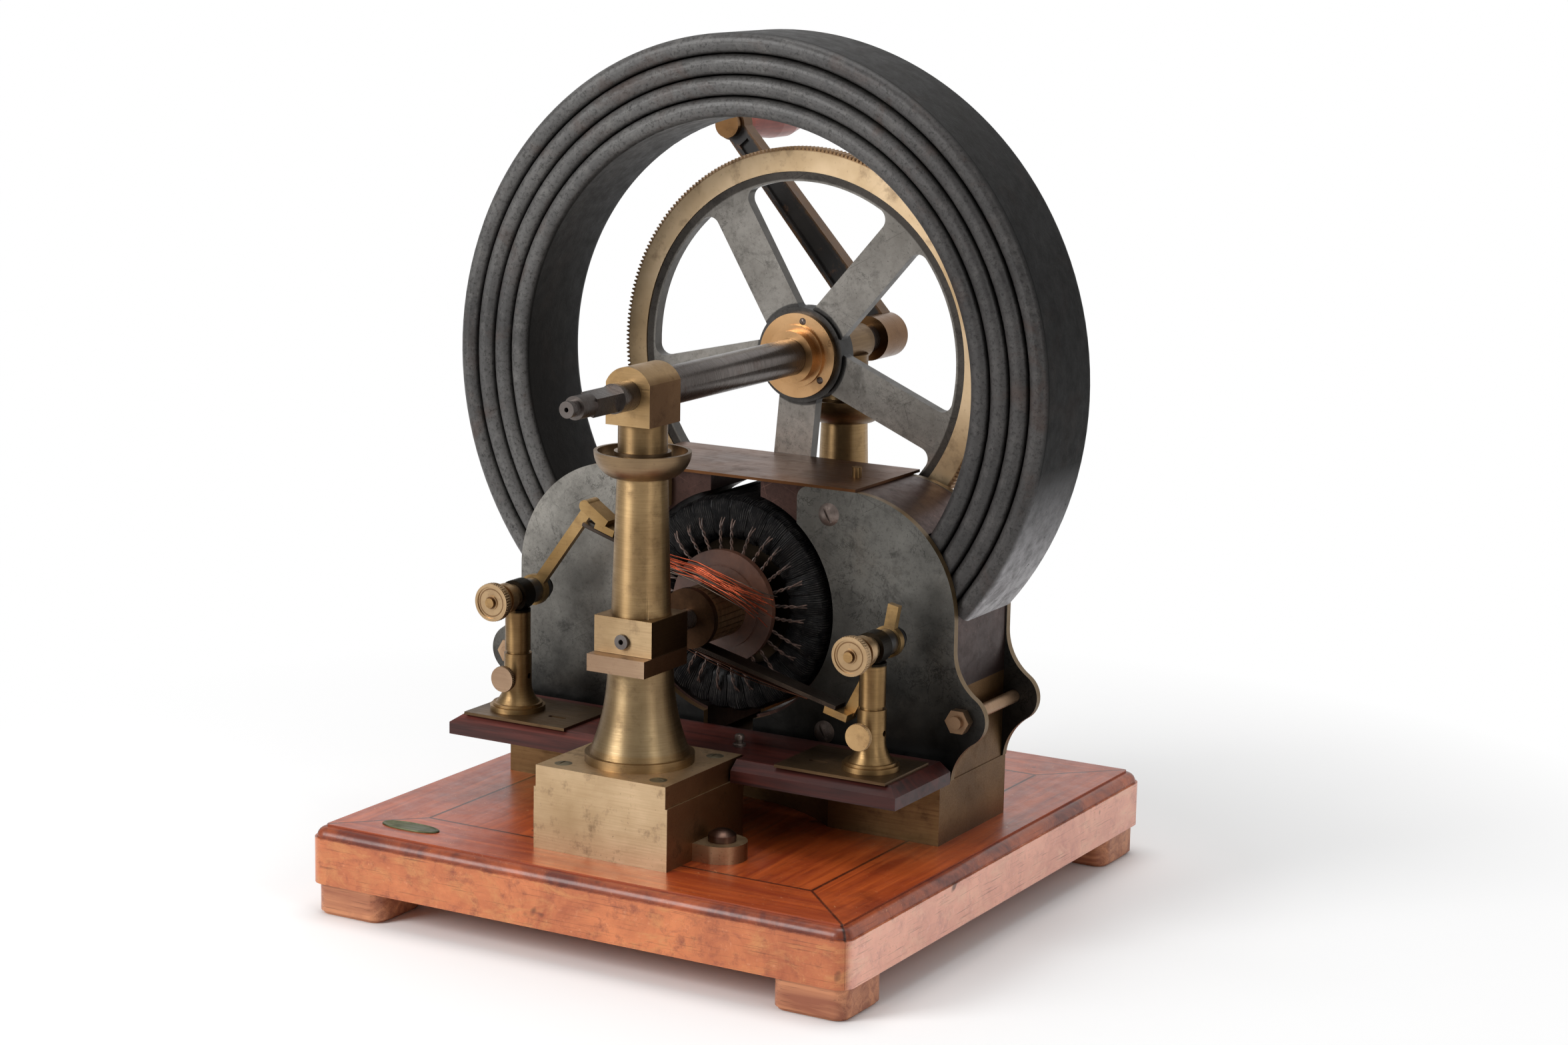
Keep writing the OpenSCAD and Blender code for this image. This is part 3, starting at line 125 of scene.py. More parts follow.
# Camera at the photograph's place
def camera():
    azimuth, elevation, roll = (math.radians(a) for a in CAMERA_ANGLES)
    target = Vector(CAMERA_TARGET) * MM
    distance = CAMERA_DISTANCE * MM
    back = Vector((
        math.sin(azimuth) * math.cos(elevation),
        -math.cos(azimuth) * math.cos(elevation),
        math.sin(elevation),
    ))
    side = Vector((math.cos(azimuth), math.sin(azimuth), 0))
    up = back.cross(side)
    right = side * math.cos(roll) + up * math.sin(roll)
    top = up * math.cos(roll) - side * math.sin(roll)
    data = bpy.data.cameras.new("camera")
    data.sensor_fit = "HORIZONTAL"
    data.sensor_width = SENSOR_WIDTH
    data.lens = SENSOR_WIDTH * FOCAL_PIXELS / PHOTO_WIDTH
    data.clip_end = 30.0
    cam = bpy.data.objects.new("camera", data)
    bpy.context.scene.collection.objects.link(cam)
    turned = Matrix((right, top, back)).transposed().to_4x4()
    cam.matrix_world = Matrix.Translation(target + back * distance) @ turned
    bpy.context.scene.camera = cam


# Node helper: one procedural material with its Principled shader
class Shader:
    def __init__(self, name, **sockets):
        self.mat = bpy.data.materials.new(name)
        self.mat.use_nodes = True
        self.tree = self.mat.node_tree
        self.bsdf = self.tree.nodes["Principled BSDF"]
        for key, value in sockets.items():
            self.bsdf.inputs[key.replace("_", " ")].default_value = value
        self.place = self.node("ShaderNodeTexCoord").outputs["Object"]

    def node(self, kind, **settings):
        made = self.tree.nodes.new(kind)
        for key, value in settings.items():
            setattr(made, key, value)
        return made

    def put(self, socket, value):
        if isinstance(value, bpy.types.NodeSocket):
            self.tree.links.new(value, socket)
        elif isinstance(value, tuple) and len(value) == 3 and socket.type == "RGBA":
            socket.default_value = (*value, 1.0)
        else:
            socket.default_value = value

    def stretch(self, scale, vector=None, turn=(0, 0, 0)):
        made = self.node("ShaderNodeMapping")
        self.put(made.inputs["Vector"], vector or self.place)
        made.inputs["Scale"].default_value = scale
        made.inputs["Rotation"].default_value = turn
        return made.outputs["Vector"]

    def noise(self, scale, vector=None, detail=4.0, rough=0.55, warp=0.0):
        made = self.node("ShaderNodeTexNoise")
        self.put(made.inputs["Vector"], vector or self.place)
        made.inputs["Scale"].default_value = scale
        made.inputs["Detail"].default_value = detail
        made.inputs["Roughness"].default_value = rough
        made.inputs["Distortion"].default_value = warp
        return made.outputs["Fac"]

    def facing(self):
        """How far a face looks along X, Y and Z."""
        return self.axes(self.node("ShaderNodeTexCoord").outputs["Normal"])

    def distance(self, across, up):
        """Distance from an axis, from the two ways across it."""
        squares = [self.math("MULTIPLY", way, way) for way in (across, up)]
        return self.math("SQRT", self.math("ADD", *squares))

    def from_axis(self, height):
        """Distance from an axis along Y at a height in millimetres."""
        x, _, z = self.axes()
        return self.distance(x, self.math("SUBTRACT", z, height * MM))

    def times(self, amount, colour, factor):
        """The colour multiplied by a factor, as far as the amount says."""
        return self.mix(amount, colour, factor, kind="MULTIPLY")

    def band(self, value, low, high, to_low=0.0, to_high=1.0):
        made = self.node("ShaderNodeMapRange")
        self.put(made.inputs["Value"], value)
        made.inputs["From Min"].default_value = low
        made.inputs["From Max"].default_value = high
        made.inputs["To Min"].default_value = to_low
        made.inputs["To Max"].default_value = to_high
        return made.outputs["Result"]

    def between(self, value, low, high, soft=0.6):
        """One between two places in millimetres, nothing outside them."""
        rise = self.band(value, (low - soft) * MM, (low + soft) * MM)
        fall = self.band(value, (high - soft) * MM, (high + soft) * MM, 1.0, 0.0)
        return self.math("MULTIPLY", rise, fall)

    def math(self, kind, a, b=0.0):
        made = self.node("ShaderNodeMath", operation=kind)
        self.put(made.inputs[0], a)
        self.put(made.inputs[1], b)
        return made.outputs["Value"]

    def mix(self, amount, a, b, kind="MIX"):
        made = self.node("ShaderNodeMix", data_type="RGBA", blend_type=kind)
        self.put(made.inputs["Factor"], amount)
        self.put(made.inputs["A"], a)
        self.put(made.inputs["B"], b)
        return made.outputs["Result"]

    def axes(self, vector=None):
        made = self.node("ShaderNodeSeparateXYZ")
        self.put(made.inputs["Vector"], vector or self.place)
        return made.outputs

    def bump(self, *layers):
        normal = None
        for height, strength, distance in layers:
            made = self.node("ShaderNodeBump")
            made.inputs["Strength"].default_value = strength
            made.inputs["Distance"].default_value = distance
            self.put(made.inputs["Height"], height)
            if normal:
                self.put(made.inputs["Normal"], normal)
            normal = made.outputs["Normal"]
        self.put(self.bsdf.inputs["Normal"], normal)

    def finish(self, colour, roughness):
        self.put(self.bsdf.inputs["Base Color"], colour)
        self.put(self.bsdf.inputs["Roughness"], roughness)
        return self.mat


# Metals
def aged_metal(name, pale, deep, stain, lines=(40, 40, 1400), rough=(0.24, 0.46), stained=0.5, marks=0.25,
               dim_side=None, zones=(), side_zones=(), satin=False, dark_r=None, rings=()):
    s = Shader(name, Metallic=1.0)
    if satin:
        # Turning marks run round the upright axis, so highlights stretch along it
        upright = s.node("ShaderNodeCombineXYZ")
        for socket, share in zip(upright.inputs, (0.02, 0.013, 1.0)):
            socket.default_value = share
        s.put(s.bsdf.inputs["Tangent"], upright.outputs["Vector"])
        s.bsdf.inputs["Anisotropic"].default_value = 0.75
    broad = s.noise(14.0, detail=5)
    fine = s.noise(1.0, s.stretch(lines), detail=3, rough=0.7)
    patches = s.noise(60.0, detail=9, rough=0.68)
    specks = s.noise(420.0, detail=3)
    colour = s.mix(s.band(broad, 0.35, 0.66), deep, pale)
    colour = s.mix(s.band(fine, 0.3, 0.75, 0.0, 0.45), colour, deep)
    colour = s.mix(s.band(patches, 0.55, 0.74, 0.0, stained), colour, stain)
    colour = s.mix(s.band(specks, 0.64, 0.74, 0.0, marks), colour, stain)
    # Painted shade: faces turned along X are darkened by the given factor
    if dim_side:
        colour = s.times(s.band(s.math("ABSOLUTE", s.facing()[0]), 0.75, 0.98), colour, dim_side)
    if dark_r:
        teeth = s.band(s.from_axis(DRIVE_Z), (dark_r - 0.4) * MM, (dark_r + 0.4) * MM)
        colour = s.times(teeth, colour, (0.5, 0.42, 0.36))
    for factor, *limits in zones:
        inside = 1.0
        for axis, low, high in limits:
            inside = s.math("MULTIPLY", s.between(s.axes()[axis], low, high), inside)
        colour = s.times(inside, colour, factor)
    if rings:
        x, _, z = s.axes()
        out = s.math("SUBTRACT", s.math("ABSOLUTE", x), POST_X * MM)
        radius = s.distance(out, s.math("SUBTRACT", z, POST_HEAD_Z * MM))
        for low, high in rings:
            colour = s.times(s.between(radius, low, high, 0.3), colour, (0.38, 0.30, 0.26))
    # Painted shade: faces turned along X within the listed height band are darkened
    for axis, low, high, factor in side_zones:
        side = s.band(s.math("ABSOLUTE", s.facing()[0]), 0.75, 0.98)
        colour = s.times(s.math("MULTIPLY", side, s.between(s.axes()[axis], low, high)), colour, factor)
    dull = s.band(patches, 0.5, 0.75, 0.0, 0.15)
    gloss = s.math("ADD", s.band(fine, 0.25, 0.8, *rough), dull)
    s.bump((fine, 0.18, 0.0003), (patches, 0.12, 0.0004))
    return s.finish(colour, gloss)


def scratched_steel(name, pale, deep, warm, metallic=0.75, scratch=0.35, rim=None, dark_below=None,
                    hub_r=None, pale_left=None, cut=None, stains=0.0):
    s = Shader(name, Metallic=metallic)
    broad = s.noise(9.0, detail=6, rough=0.6)
    mottled = s.noise(130.0, detail=8, rough=0.7)
    grain = s.noise(380.0, detail=6, rough=0.75)
    specks = s.noise(700.0, detail=2)
    colour = s.mix(s.band(broad, 0.36, 0.64), deep, pale)
    colour = s.mix(s.band(mottled, 0.47, 0.68, 0.0, 0.65), colour, deep)
    colour = s.mix(s.band(broad, 0.58, 0.72, 0.0, 0.6), colour, warm)
    colour = s.mix(s.band(grain, 0.54, 0.68, 0.0, 0.5), colour, tuple(c * 0.5 for c in deep))
    cuts = None
    for turn, size in ((0.5, 30.0), (1.9, 22.0), (2.7, 36.0)):
        along = s.stretch((size * 0.5, size * 40, size * 40), s.stretch((1, 1, 1), turn=(0, turn, 0)))
        line = s.band(s.noise(1.0, along, detail=1.5, warp=0.4), 0.68, 0.73)
        cuts = line if cuts is None else s.math("MAXIMUM", cuts, line)
    cuts = s.math("MULTIPLY", cuts, s.band(s.noise(26.0, detail=2), 0.45, 0.6))
    colour = s.mix(s.math("MULTIPLY", cuts, scratch), colour, cut or tuple(min(1.0, c * 3.2) for c in pale))
    colour = s.mix(s.band(specks, 0.66, 0.74, 0.0, 0.6), colour, tuple(c * 0.3 for c in deep))
    if stains:
        blots = s.noise(38.0, detail=9, rough=0.74, warp=0.4)
        colour = s.mix(s.band(blots, 0.56, 0.64, 0.0, stains), colour, tuple(c * 0.35 for c in deep))
        # Dirt left in fine broken cracks, in patches
        veins = s.noise(62.0, detail=8, rough=0.70, warp=0.5)
        cracks = s.band(s.math("ABSOLUTE", s.math("SUBTRACT", veins, 0.5)), 0.004, 0.018, 1.0, 0.0)
        patchy = s.band(s.noise(20.0, detail=6, rough=0.7), 0.46, 0.60, 0.0, stains * 1.4)
        colour = s.mix(s.math("MULTIPLY", cracks, patchy), colour, tuple(c * 0.3 for c in deep))
    # Painted shade: the colour darkens toward the bottom, up to the given height
    if dark_below:
        low, high, share = dark_below
        height = s.math("ADD", s.axes()[2], s.band(broad, 0.3, 0.7, -0.02, 0.02))
        colour = s.times(s.band(height, low * MM, high * MM, share, 0.0), colour, (0.0, 0.0, 0.0))
    if rim:
        colour = s.mix(s.band(s.math("ABSOLUTE", s.facing()[1]), 0.2, 0.6, 1.0, 0.0), colour, rim)
    if hub_r:
        radius = s.from_axis(DRIVE_Z)
        hub = s.band(radius, hub_r * MM, (hub_r + 1.0) * MM, 1.0, 0.0)
        colour = s.times(hub, colour, (0.25, 0.25, 0.26))
        seam = s.band(radius, (RIM_DARK_R - 1.0) * MM, RIM_DARK_R * MM)
        colour = s.times(seam, colour, (0.28, 0.26, 0.25))
    # Painted light: the left side (negative X) is brightened
    if pale_left:
        colour = s.times(s.band(s.axes()[0], -0.06, 0.06, 1.0, 0.0), colour, pale_left)
    gloss = s.math("ADD", s.band(mottled, 0.3, 0.7, 0.30, 0.5), s.math("MULTIPLY", cuts, -0.08))
    s.bump((mottled, 0.15, 0.0003), (cuts, -0.12, 0.0002))
    return s.finish(colour, gloss)


# Leaves of the magnet: grey on their front and rear edges, nearly black with brown scuffs on their faces
def magnet_iron():
    s = Shader("magnet_iron")
    broad = s.noise(11.0, detail=6)
    mottled = s.noise(90.0, detail=9, rough=0.72)
    grain = s.noise(420.0, detail=7, rough=0.75)
    pits = s.noise(260.0, detail=3)
    rust = s.noise(24.0, detail=7, rough=0.65, warp=0.6)
    streaks = s.noise(1.0, s.stretch((26, 420, 26)), detail=4, rough=0.7)
    depth = s.math("ABSOLUTE", s.math("SUBTRACT", s.axes()[1], STACK_MID_Y * MM))
    front = s.band(depth, (LEAF_FRONT - LEAF_BEVEL) * MM, LEAF_FRONT * MM)
    upward = s.band(s.facing()[2], 0.55, 0.9)
    radius = s.from_axis(MAGNET_Z)
    outside = s.band(radius, (MAGNET_R - 2.5) * MM, (MAGNET_R - 1.5) * MM)
    inside = s.band(radius, (MAGNET_IN_R + 1.5) * MM, (MAGNET_IN_R + 2.5) * MM, 1.0, 0.0)
    face = s.mix(s.band(broad, 0.35, 0.68), (0.0018, 0.0016, 0.0015), (0.0055, 0.0050, 0.0046))
    face = s.mix(s.band(streaks, 0.56, 0.74, 0.0, 0.5), face, (0.016, 0.0135, 0.011))
    # Faces turned upward are paler in mottled patches
    dusty = s.math("MULTIPLY", upward, s.band(mottled, 0.4, 0.7, 0.3, 0.8))
    face = s.mix(dusty, face, (0.024, 0.022, 0.020))
    # The outer leaf is rubbed bright toward its ends
    low = s.band(s.axes()[2], LEAF_BARE_LOW_Z * MM, LEAF_BARE_TOP_Z * MM, 0.9, 0.0)
    bare = s.math("MULTIPLY", outside, low)
    bare = s.math("MULTIPLY", bare, s.band(mottled, 0.36, 0.58, 0.45, 1.0))
    face = s.mix(bare, face, (0.50, 0.49, 0.50))
    edge = s.mix(s.band(broad, 0.35, 0.68), (0.046, 0.044, 0.043), (0.104, 0.100, 0.096))
    edge = s.mix(s.band(mottled, 0.5, 0.74, 0.0, 0.6), edge, (0.175, 0.166, 0.156))
    edge = s.mix(s.band(grain, 0.50, 0.64, 0.0, 0.85), edge, (0.020, 0.018, 0.016))
    # Painted shade: the leaf edges darken toward the right
    edge = s.times(s.band(s.axes()[0], 20 * MM, 150 * MM), edge, (0.58, 0.56, 0.56))
    colour = s.mix(front, face, edge)
    rusty = s.mix(front, (0.012, 0.0065, 0.0045), (0.058, 0.030, 0.021))
    colour = s.mix(s.band(rust, 0.55, 0.72, 0.0, 0.6), colour, rusty)
    colour = s.mix(s.band(pits, 0.66, 0.75, 0.0, 0.8), colour, (0.008, 0.007, 0.007))
    shine = s.math("MAXIMUM", s.band(front, 0.0, 1.0, 0.05, 0.42), s.math("MULTIPLY", inside, 0.13))
    s.put(s.bsdf.inputs["Specular IOR Level"], shine)
    s.put(s.bsdf.inputs["Metallic"], s.band(front, 0.0, 1.0, 0.0, 0.2))
    s.bump((mottled, 0.3, 0.0006), (grain, 0.2, 0.0004), (pits, -0.25, 0.0004))
    return s.finish(colour, s.band(mottled, 0.3, 0.7, 0.36, 0.55))


def turned_steel():
    s = Shader("turned_steel", Metallic=0.9)
    rings = s.noise(1.0, s.stretch((30, 1500, 30)), detail=3, rough=0.7)
    broad = s.noise(16.0, s.stretch((1, 0.4, 1)), detail=6)
    rust = s.noise(70.0, detail=8, rough=0.7)
    colour = s.mix(s.band(broad, 0.35, 0.65), (0.072, 0.058, 0.050), (0.185, 0.162, 0.150))
    colour = s.mix(s.band(rust, 0.54, 0.7, 0.0, 0.6), colour, (0.075, 0.038, 0.026))
    colour = s.mix(s.band(rings, 0.45, 0.75, 0.0, 0.35), colour, (0.05, 0.045, 0.042))
    s.bump((rings, 0.15, 0.0002), (rust, 0.1, 0.0003))
    return s.finish(colour, s.band(rings, 0.3, 0.75, 0.2, 0.42))


# Commutator: worn bars behind a dark end ring
def worn_commutator():
    s = Shader("commutator_brass", Metallic=0.9)
    wear = s.noise(1.0, s.stretch((60, 900, 60)), detail=4, rough=0.7)
    soot = s.noise(55.0, detail=8, rough=0.7)
    colour = s.mix(s.band(wear, 0.3, 0.7), (0.13, 0.068, 0.030), (0.34, 0.20, 0.095))
    colour = s.mix(s.band(soot, 0.5, 0.7, 0.0, 0.75), colour, (0.030, 0.018, 0.012))
    ring_end = (COMMUTATOR_FRONT_Y + END_RING_W) * MM
    colour = s.times(s.band(s.axes()[1], ring_end, ring_end + 0.0005, 1.0, 0.0), colour, (0.22, 0.18, 0.17))
    s.bump((wear, 0.2, 0.0003))
    return s.finish(colour, s.band(soot, 0.3, 0.7, 0.28, 0.5))


# Woods
def grain_along(s, axis):
    wide = [95.0, 95.0, 95.0]
    wide[axis] = 5.0
    fine = [1100.0, 1100.0, 1100.0]
    fine[axis] = 28.0
    return s.stretch(wide), s.stretch(fine)


def varnished_wood(name, pale, deep, pore, axis=0, coat=0.35, rough=(0.32, 0.5), dim_right=None):
    s = Shader(name, Coat_Weight=coat, Coat_Roughness=0.16, Specular_IOR_Level=0.35)
    wide, fine = grain_along(s, axis)
    figure = s.noise(1.0, wide, detail=5, rough=0.6, warp=1.2)
    pores = s.noise(1.0, fine, detail=2)
    blotch = s.noise(28.0, detail=7, rough=0.66)
    colour = s.mix(s.band(figure, 0.34, 0.68), deep, pale)
    colour = s.mix(s.band(blotch, 0.5, 0.72, 0.0, 0.55), colour, deep)
    colour = s.mix(s.band(pores, 0.6, 0.7, 0.0, 0.5), colour, pore)
    # Painted shade: the colour darkens toward the right (positive X)
    if dim_right:
        colour = s.times(s.band(s.axes()[0], -0.12, 0.08), colour, dim_right)
    s.bump((pores, -0.15, 0.0003), (blotch, 0.1, 0.0006))
    return s.finish(colour, s.band(blotch, 0.3, 0.7, *rough))


# Mitred base: glossy orange top, dark red moulding and faded sides, with painted light on the sides facing
# +X; the grain follows each rail
def base_wood(name, panel=False):
    s = Shader(name, Coat_Weight=0.26, Coat_Roughness=0.21, Specular_IOR_Level=0.35)
    x, y, z = s.axes()
    along_x, fine_x = grain_along(s, 0)
    along_y, fine_y = grain_along(s, 1)
    from_x = s.math("SUBTRACT", s.math("ABSOLUTE", x), PANEL_HALF_X * MM)
    depth = s.math("ABSOLUTE", s.math("SUBTRACT", y, BOARD_MID_Y * MM))
    from_y = s.math("SUBTRACT", depth, PANEL_HALF_Y * MM)
    mitre = s.math("SUBTRACT", from_x, from_y)
    if panel:
        figure = s.noise(1.0, along_y, detail=5, rough=0.6, warp=1.4)
        pores = s.noise(1.0, fine_y, detail=2)
    else:
        side_rail = s.math("GREATER_THAN", mitre, 0.0)
        figure = s.mix(side_rail, s.noise(1.0, along_x, detail=5, rough=0.6, warp=1.4),
                       s.noise(1.0, along_y, detail=5, rough=0.6, warp=1.4))
        pores = s.mix(side_rail, s.noise(1.0, fine_x, detail=2), s.noise(1.0, fine_y, detail=2))
    blotch = s.noise(22.0, detail=8, rough=0.7, warp=0.5)
    grime = s.noise(75.0, detail=9, rough=0.74)
    rubbed = s.noise(190.0, detail=5, rough=0.7)
    top = s.mix(s.band(figure, 0.35, 0.68), (0.26, 0.036, 0.008), (0.47, 0.088, 0.016))
    top = s.mix(s.band(blotch, 0.52, 0.74, 0.0, 0.7), top, (0.13, 0.018, 0.006))
    side = s.mix(s.band(blotch, 0.32, 0.66), (0.36, 0.090, 0.034), (0.64, 0.204, 0.074))
    side = s.mix(s.band(grime, 0.52, 0.70, 0.0, 0.85), side, (0.21, 0.055, 0.030))
    side = s.mix(s.band(rubbed, 0.6, 0.72, 0.0, 0.4), side, (0.72, 0.33, 0.17))
    scuffs = s.noise(34.0, s.stretch((1.0, 1.0, 2.2)), detail=9, rough=0.74, warp=0.8)
    side = s.mix(s.band(scuffs, 0.50, 0.64, 0.0, 0.6), side, (0.58, 0.255, 0.088))
    side = s.mix(s.band(scuffs, 0.32, 0.42, 0.55, 0.0), side, (0.25, 0.062, 0.036))
    # Painted light: the sides facing +X are brightened and paled toward pink
    right = s.band(s.facing()[0], 0.75, 0.98)
    side = s.times(right, side, (1.6, 2.55, 4.9))
    side = s.mix(s.math("MULTIPLY", right, 0.5), side, (0.86, 0.44, 0.335))
    edge = s.mix(s.band(blotch, 0.4, 0.66), (0.12, 0.020, 0.009), (0.40, 0.085, 0.022))
    edge = s.mix(s.band(grime, 0.56, 0.70, 0.0, 0.7), edge, (0.05, 0.012, 0.008))
    height = s.math("ADD", z, s.band(grime, 0.3, 0.7, -0.0006, 0.0006))
    colour = s.mix(s.band(height, MOULDING_LOW_Z * MM, (MOULDING_LOW_Z + 1.0) * MM), side, edge)
    colour = s.mix(s.band(height, MOULDING_TOP_Z * MM, (MOULDING_TOP_Z + 1.4) * MM), colour, top)
    colour = s.mix(s.band(pores, 0.6, 0.72, 0.0, 0.45), colour, (0.07, 0.016, 0.009))
    # Dark joints around the panel and along the mitres
    outside = s.math("MAXIMUM", from_x, from_y)
    joint = s.band(s.math("ABSOLUTE", outside), 0.8 * MM, 1.6 * MM, 1.0, 0.0)
    if not panel:
        slant = s.band(s.math("ABSOLUTE", mitre), 0.8 * MM, 1.8 * MM, 1.0, 0.0)
        on_top = s.band(z, (MOULDING_LOW_Z - 0.4) * MM, (MOULDING_LOW_Z + 0.6) * MM)
        joint = s.math("MAXIMUM", joint, s.math("MULTIPLY", slant, on_top))
    dirt = s.math("MULTIPLY", joint, s.band(grime, 0.3, 0.65, 1.0, 0.6))
    colour = s.mix(dirt, colour, (0.020, 0.006, 0.004))
    # Scratches and dents
    slanted = s.stretch((16, 620, 620), s.stretch((1, 1, 1), turn=(0.2, 0.3, 0.8)))
    cuts = s.band(s.noise(1.0, slanted, detail=1.5), 0.68, 0.73)
    colour = s.mix(s.math("MULTIPLY", cuts, s.band(blotch, 0.4, 0.6, 0.0, 0.5)), colour, (0.55, 0.24, 0.11))
    dents = s.band(s.noise(48.0, detail=2), 0.70, 0.76)
    colour = s.mix(s.math("MULTIPLY", dents, 0.8), colour, (0.05, 0.014, 0.009))
    s.bump((pores, -0.12, 0.0003), (blotch, 0.12, 0.0008), (dents, -0.4, 0.0008))
    return s.finish(colour, s.band(grime, 0.3, 0.7, 0.30, 0.5))


# Other finishes
def silk():
    s = Shader("coil_silk", Specular_IOR_Level=0.13)
    thread = s.noise(900.0, detail=3)
    dust = s.noise(60.0, detail=6, rough=0.7)
    colour = s.mix(s.band(dust, 0.4, 0.72), (0.004, 0.004, 0.0045), (0.014, 0.0125, 0.0125))
    # Painted highlights: pale lines along the turns, in patches
    x, _, z = s.axes()
    angle = s.math("ARCTAN2", s.math("SUBTRACT", z, AXIS_Z * MM), x)
    turns = s.math("MULTIPLY", angle, TURN_LINES / (2 * math.pi))
    line = s.band(s.math("ABSOLUTE", s.math("SUBTRACT", s.math("FRACT", turns), 0.5)), 0.10, 0.26, 1.0, 0.0)
    worn = s.band(s.noise(150.0, detail=5, rough=0.7), 0.44, 0.60)
    colour = s.mix(s.math("MULTIPLY", line, worn), colour, (0.042, 0.039, 0.036))
    s.bump((thread, 0.3, 0.0002))
    return s.finish(colour, s.band(thread, 0.3, 0.7, 0.36, 0.55))


def moulded(name, pale, deep, rough, metallic=0.0, grain=40.0):
    s = Shader(name, Metallic=metallic)
    broad = s.noise(grain, detail=6, rough=0.65)
    fine = s.noise(500.0, detail=4)
    colour = s.mix(s.band(broad, 0.36, 0.66), deep, pale)
    s.bump((fine, 0.12, 0.0002))
    return s.finish(colour, s.band(fine, 0.3, 0.7, *rough))


# Crank arm: worn to the metal along its edges
def worn_black():
    s = Shader("worn_black", Specular_IOR_Level=0.35)
    broad = s.noise(30.0, detail=7, rough=0.68)
    chips = s.noise(95.0, detail=9, rough=0.74)
    x, _, z = s.axes()
    up = s.math("SUBTRACT", z, DRIVE_Z * MM)
    lean = math.radians(CRANK_ANGLE)
    cos, sin = math.cos(lean), math.sin(lean)
    along = s.math("ADD", s.math("MULTIPLY", x, cos), s.math("MULTIPLY", up, sin))
    across = s.math("SUBTRACT", s.math("MULTIPLY", up, cos), s.math("MULTIPLY", x, sin))
    half = s.band(along, 0.0, CRANK_R * MM, CRANK_W_IN / 2 * MM, CRANK_W_OUT / 2 * MM)
    inset = s.math("SUBTRACT", half, s.math("ABSOLUTE", across))
    ragged = s.math("ADD", inset, s.band(chips, 0.35, 0.65, -1.6 * MM, 1.6 * MM))
    edge = s.band(ragged, 0.4 * MM, 2.4 * MM, 1.0, 0.0)
    colour = s.mix(s.band(broad, 0.35, 0.66), (0.010, 0.009, 0.009), (0.026, 0.022, 0.020))
    colour = s.mix(s.band(chips, 0.58, 0.68, 0.0, 0.7), colour, (0.11, 0.052, 0.024))
    colour = s.mix(s.math("MULTIPLY", edge, 0.75), colour, (0.145, 0.076, 0.034))
    s.put(s.bsdf.inputs["Metallic"], s.math("MULTIPLY", edge, 0.6))
    s.bump((chips, -0.2, 0.0004))
    return s.finish(colour, s.band(broad, 0.3, 0.7, 0.36, 0.55))


# Shared colours, painted side shade, directions of the tool marks, and axes
PALE_BRASS, DEEP_BRASS, BROWN = (0.455, 0.308, 0.152), (0.225, 0.140, 0.064), (0.085, 0.046, 0.030)
TURNED_Z, TURNED_Y, ROLLED_X = (40, 40, 1500), (40, 1500, 40), (30, 900, 900)
SIDE_SHADE, BLOCK_SHADE = (0.42, 0.33, 0.28), (0.36, 0.26, 0.20)
X, Y, Z = 0, 1, 2

finishes = {}


def add(make, name, *given, **settings):
    finishes[name] = make(name, *given, **settings)


# The look of each slot of the record
add(base_wood, "base_wood")
add(base_wood, "panel_wood", panel=True)
add(varnished_wood, "foot_wood", (0.62, 0.27, 0.130), (0.29, 0.095, 0.048), (0.06, 0.018, 0.010), coat=0.1)
add(varnished_wood, "board_wood", (0.150, 0.032, 0.022), (0.038, 0.0090, 0.0068), (0.010, 0.003, 0.003),
    coat=0.08, rough=(0.36, 0.52), dim_right=(0.42, 0.33, 0.32))
add(varnished_wood, "grip_wood", (0.34, 0.060, 0.030), (0.13, 0.020, 0.014), (0.03, 0.008, 0.006), axis=Y)
add(aged_metal, "bed_brass", (0.27, 0.165, 0.075), (0.13, 0.076, 0.033), BROWN, ROLLED_X, (0.34, 0.56),
    dim_side=(0.75, 0.68, 0.62))
add(aged_metal, "block_brass", (0.72, 0.53, 0.33), (0.44, 0.30, 0.165), BROWN, ROLLED_X, (0.34, 0.56),
    stained=0.75, marks=0.45, dim_side=BLOCK_SHADE)
add(aged_metal, "column_brass", PALE_BRASS, DEEP_BRASS, BROWN, TURNED_Z, (0.40, 0.56), stained=0.4,
    satin=True, zones=(
        ((1.10, 1.20, 1.34), (Z, FLARE_LOW_Z, BOX_LOW_Z)),
        ((0.82, 0.86, 0.98), (Z, BOX_LOW_Z, BOX_TOP_Z)),
    ),
    side_zones=((Z, BOX_LOW_Z, BOX_TOP_Z, (0.38, 0.28, 0.22)),))
add(aged_metal, "head_brass", (0.66, 0.46, 0.25), (0.36, 0.225, 0.10), BROWN, ROLLED_X, (0.26, 0.46),
    dim_side=SIDE_SHADE)
# Painted shadow: the rear cup and the rear head under the magnet are darkened toward the rear
add(aged_metal, "cup_bronze", (0.33, 0.225, 0.125), (0.15, 0.098, 0.058), BROWN, TURNED_Z, (0.30, 0.48),
    zones=(((0.55, 0.5, 0.42), (Y, REAR_CUP_Y, FAR_Y)),))
add(aged_metal, "terminal_brass", (0.17, 0.108, 0.056), (0.075, 0.046, 0.026), BROWN, ROLLED_X,
    (0.36, 0.58))
add(aged_metal, "screw_brass", (0.42, 0.27, 0.125), (0.20, 0.12, 0.052), BROWN, TURNED_Z, (0.28, 0.48))
add(scratched_steel, "screw_steel", (0.25, 0.20, 0.175), (0.10, 0.074, 0.062), (0.13, 0.068, 0.045))
add(scratched_steel, "pole_iron", (0.080, 0.041, 0.033), (0.027, 0.0140, 0.0115), (0.078, 0.030, 0.021),
    metallic=0.8)
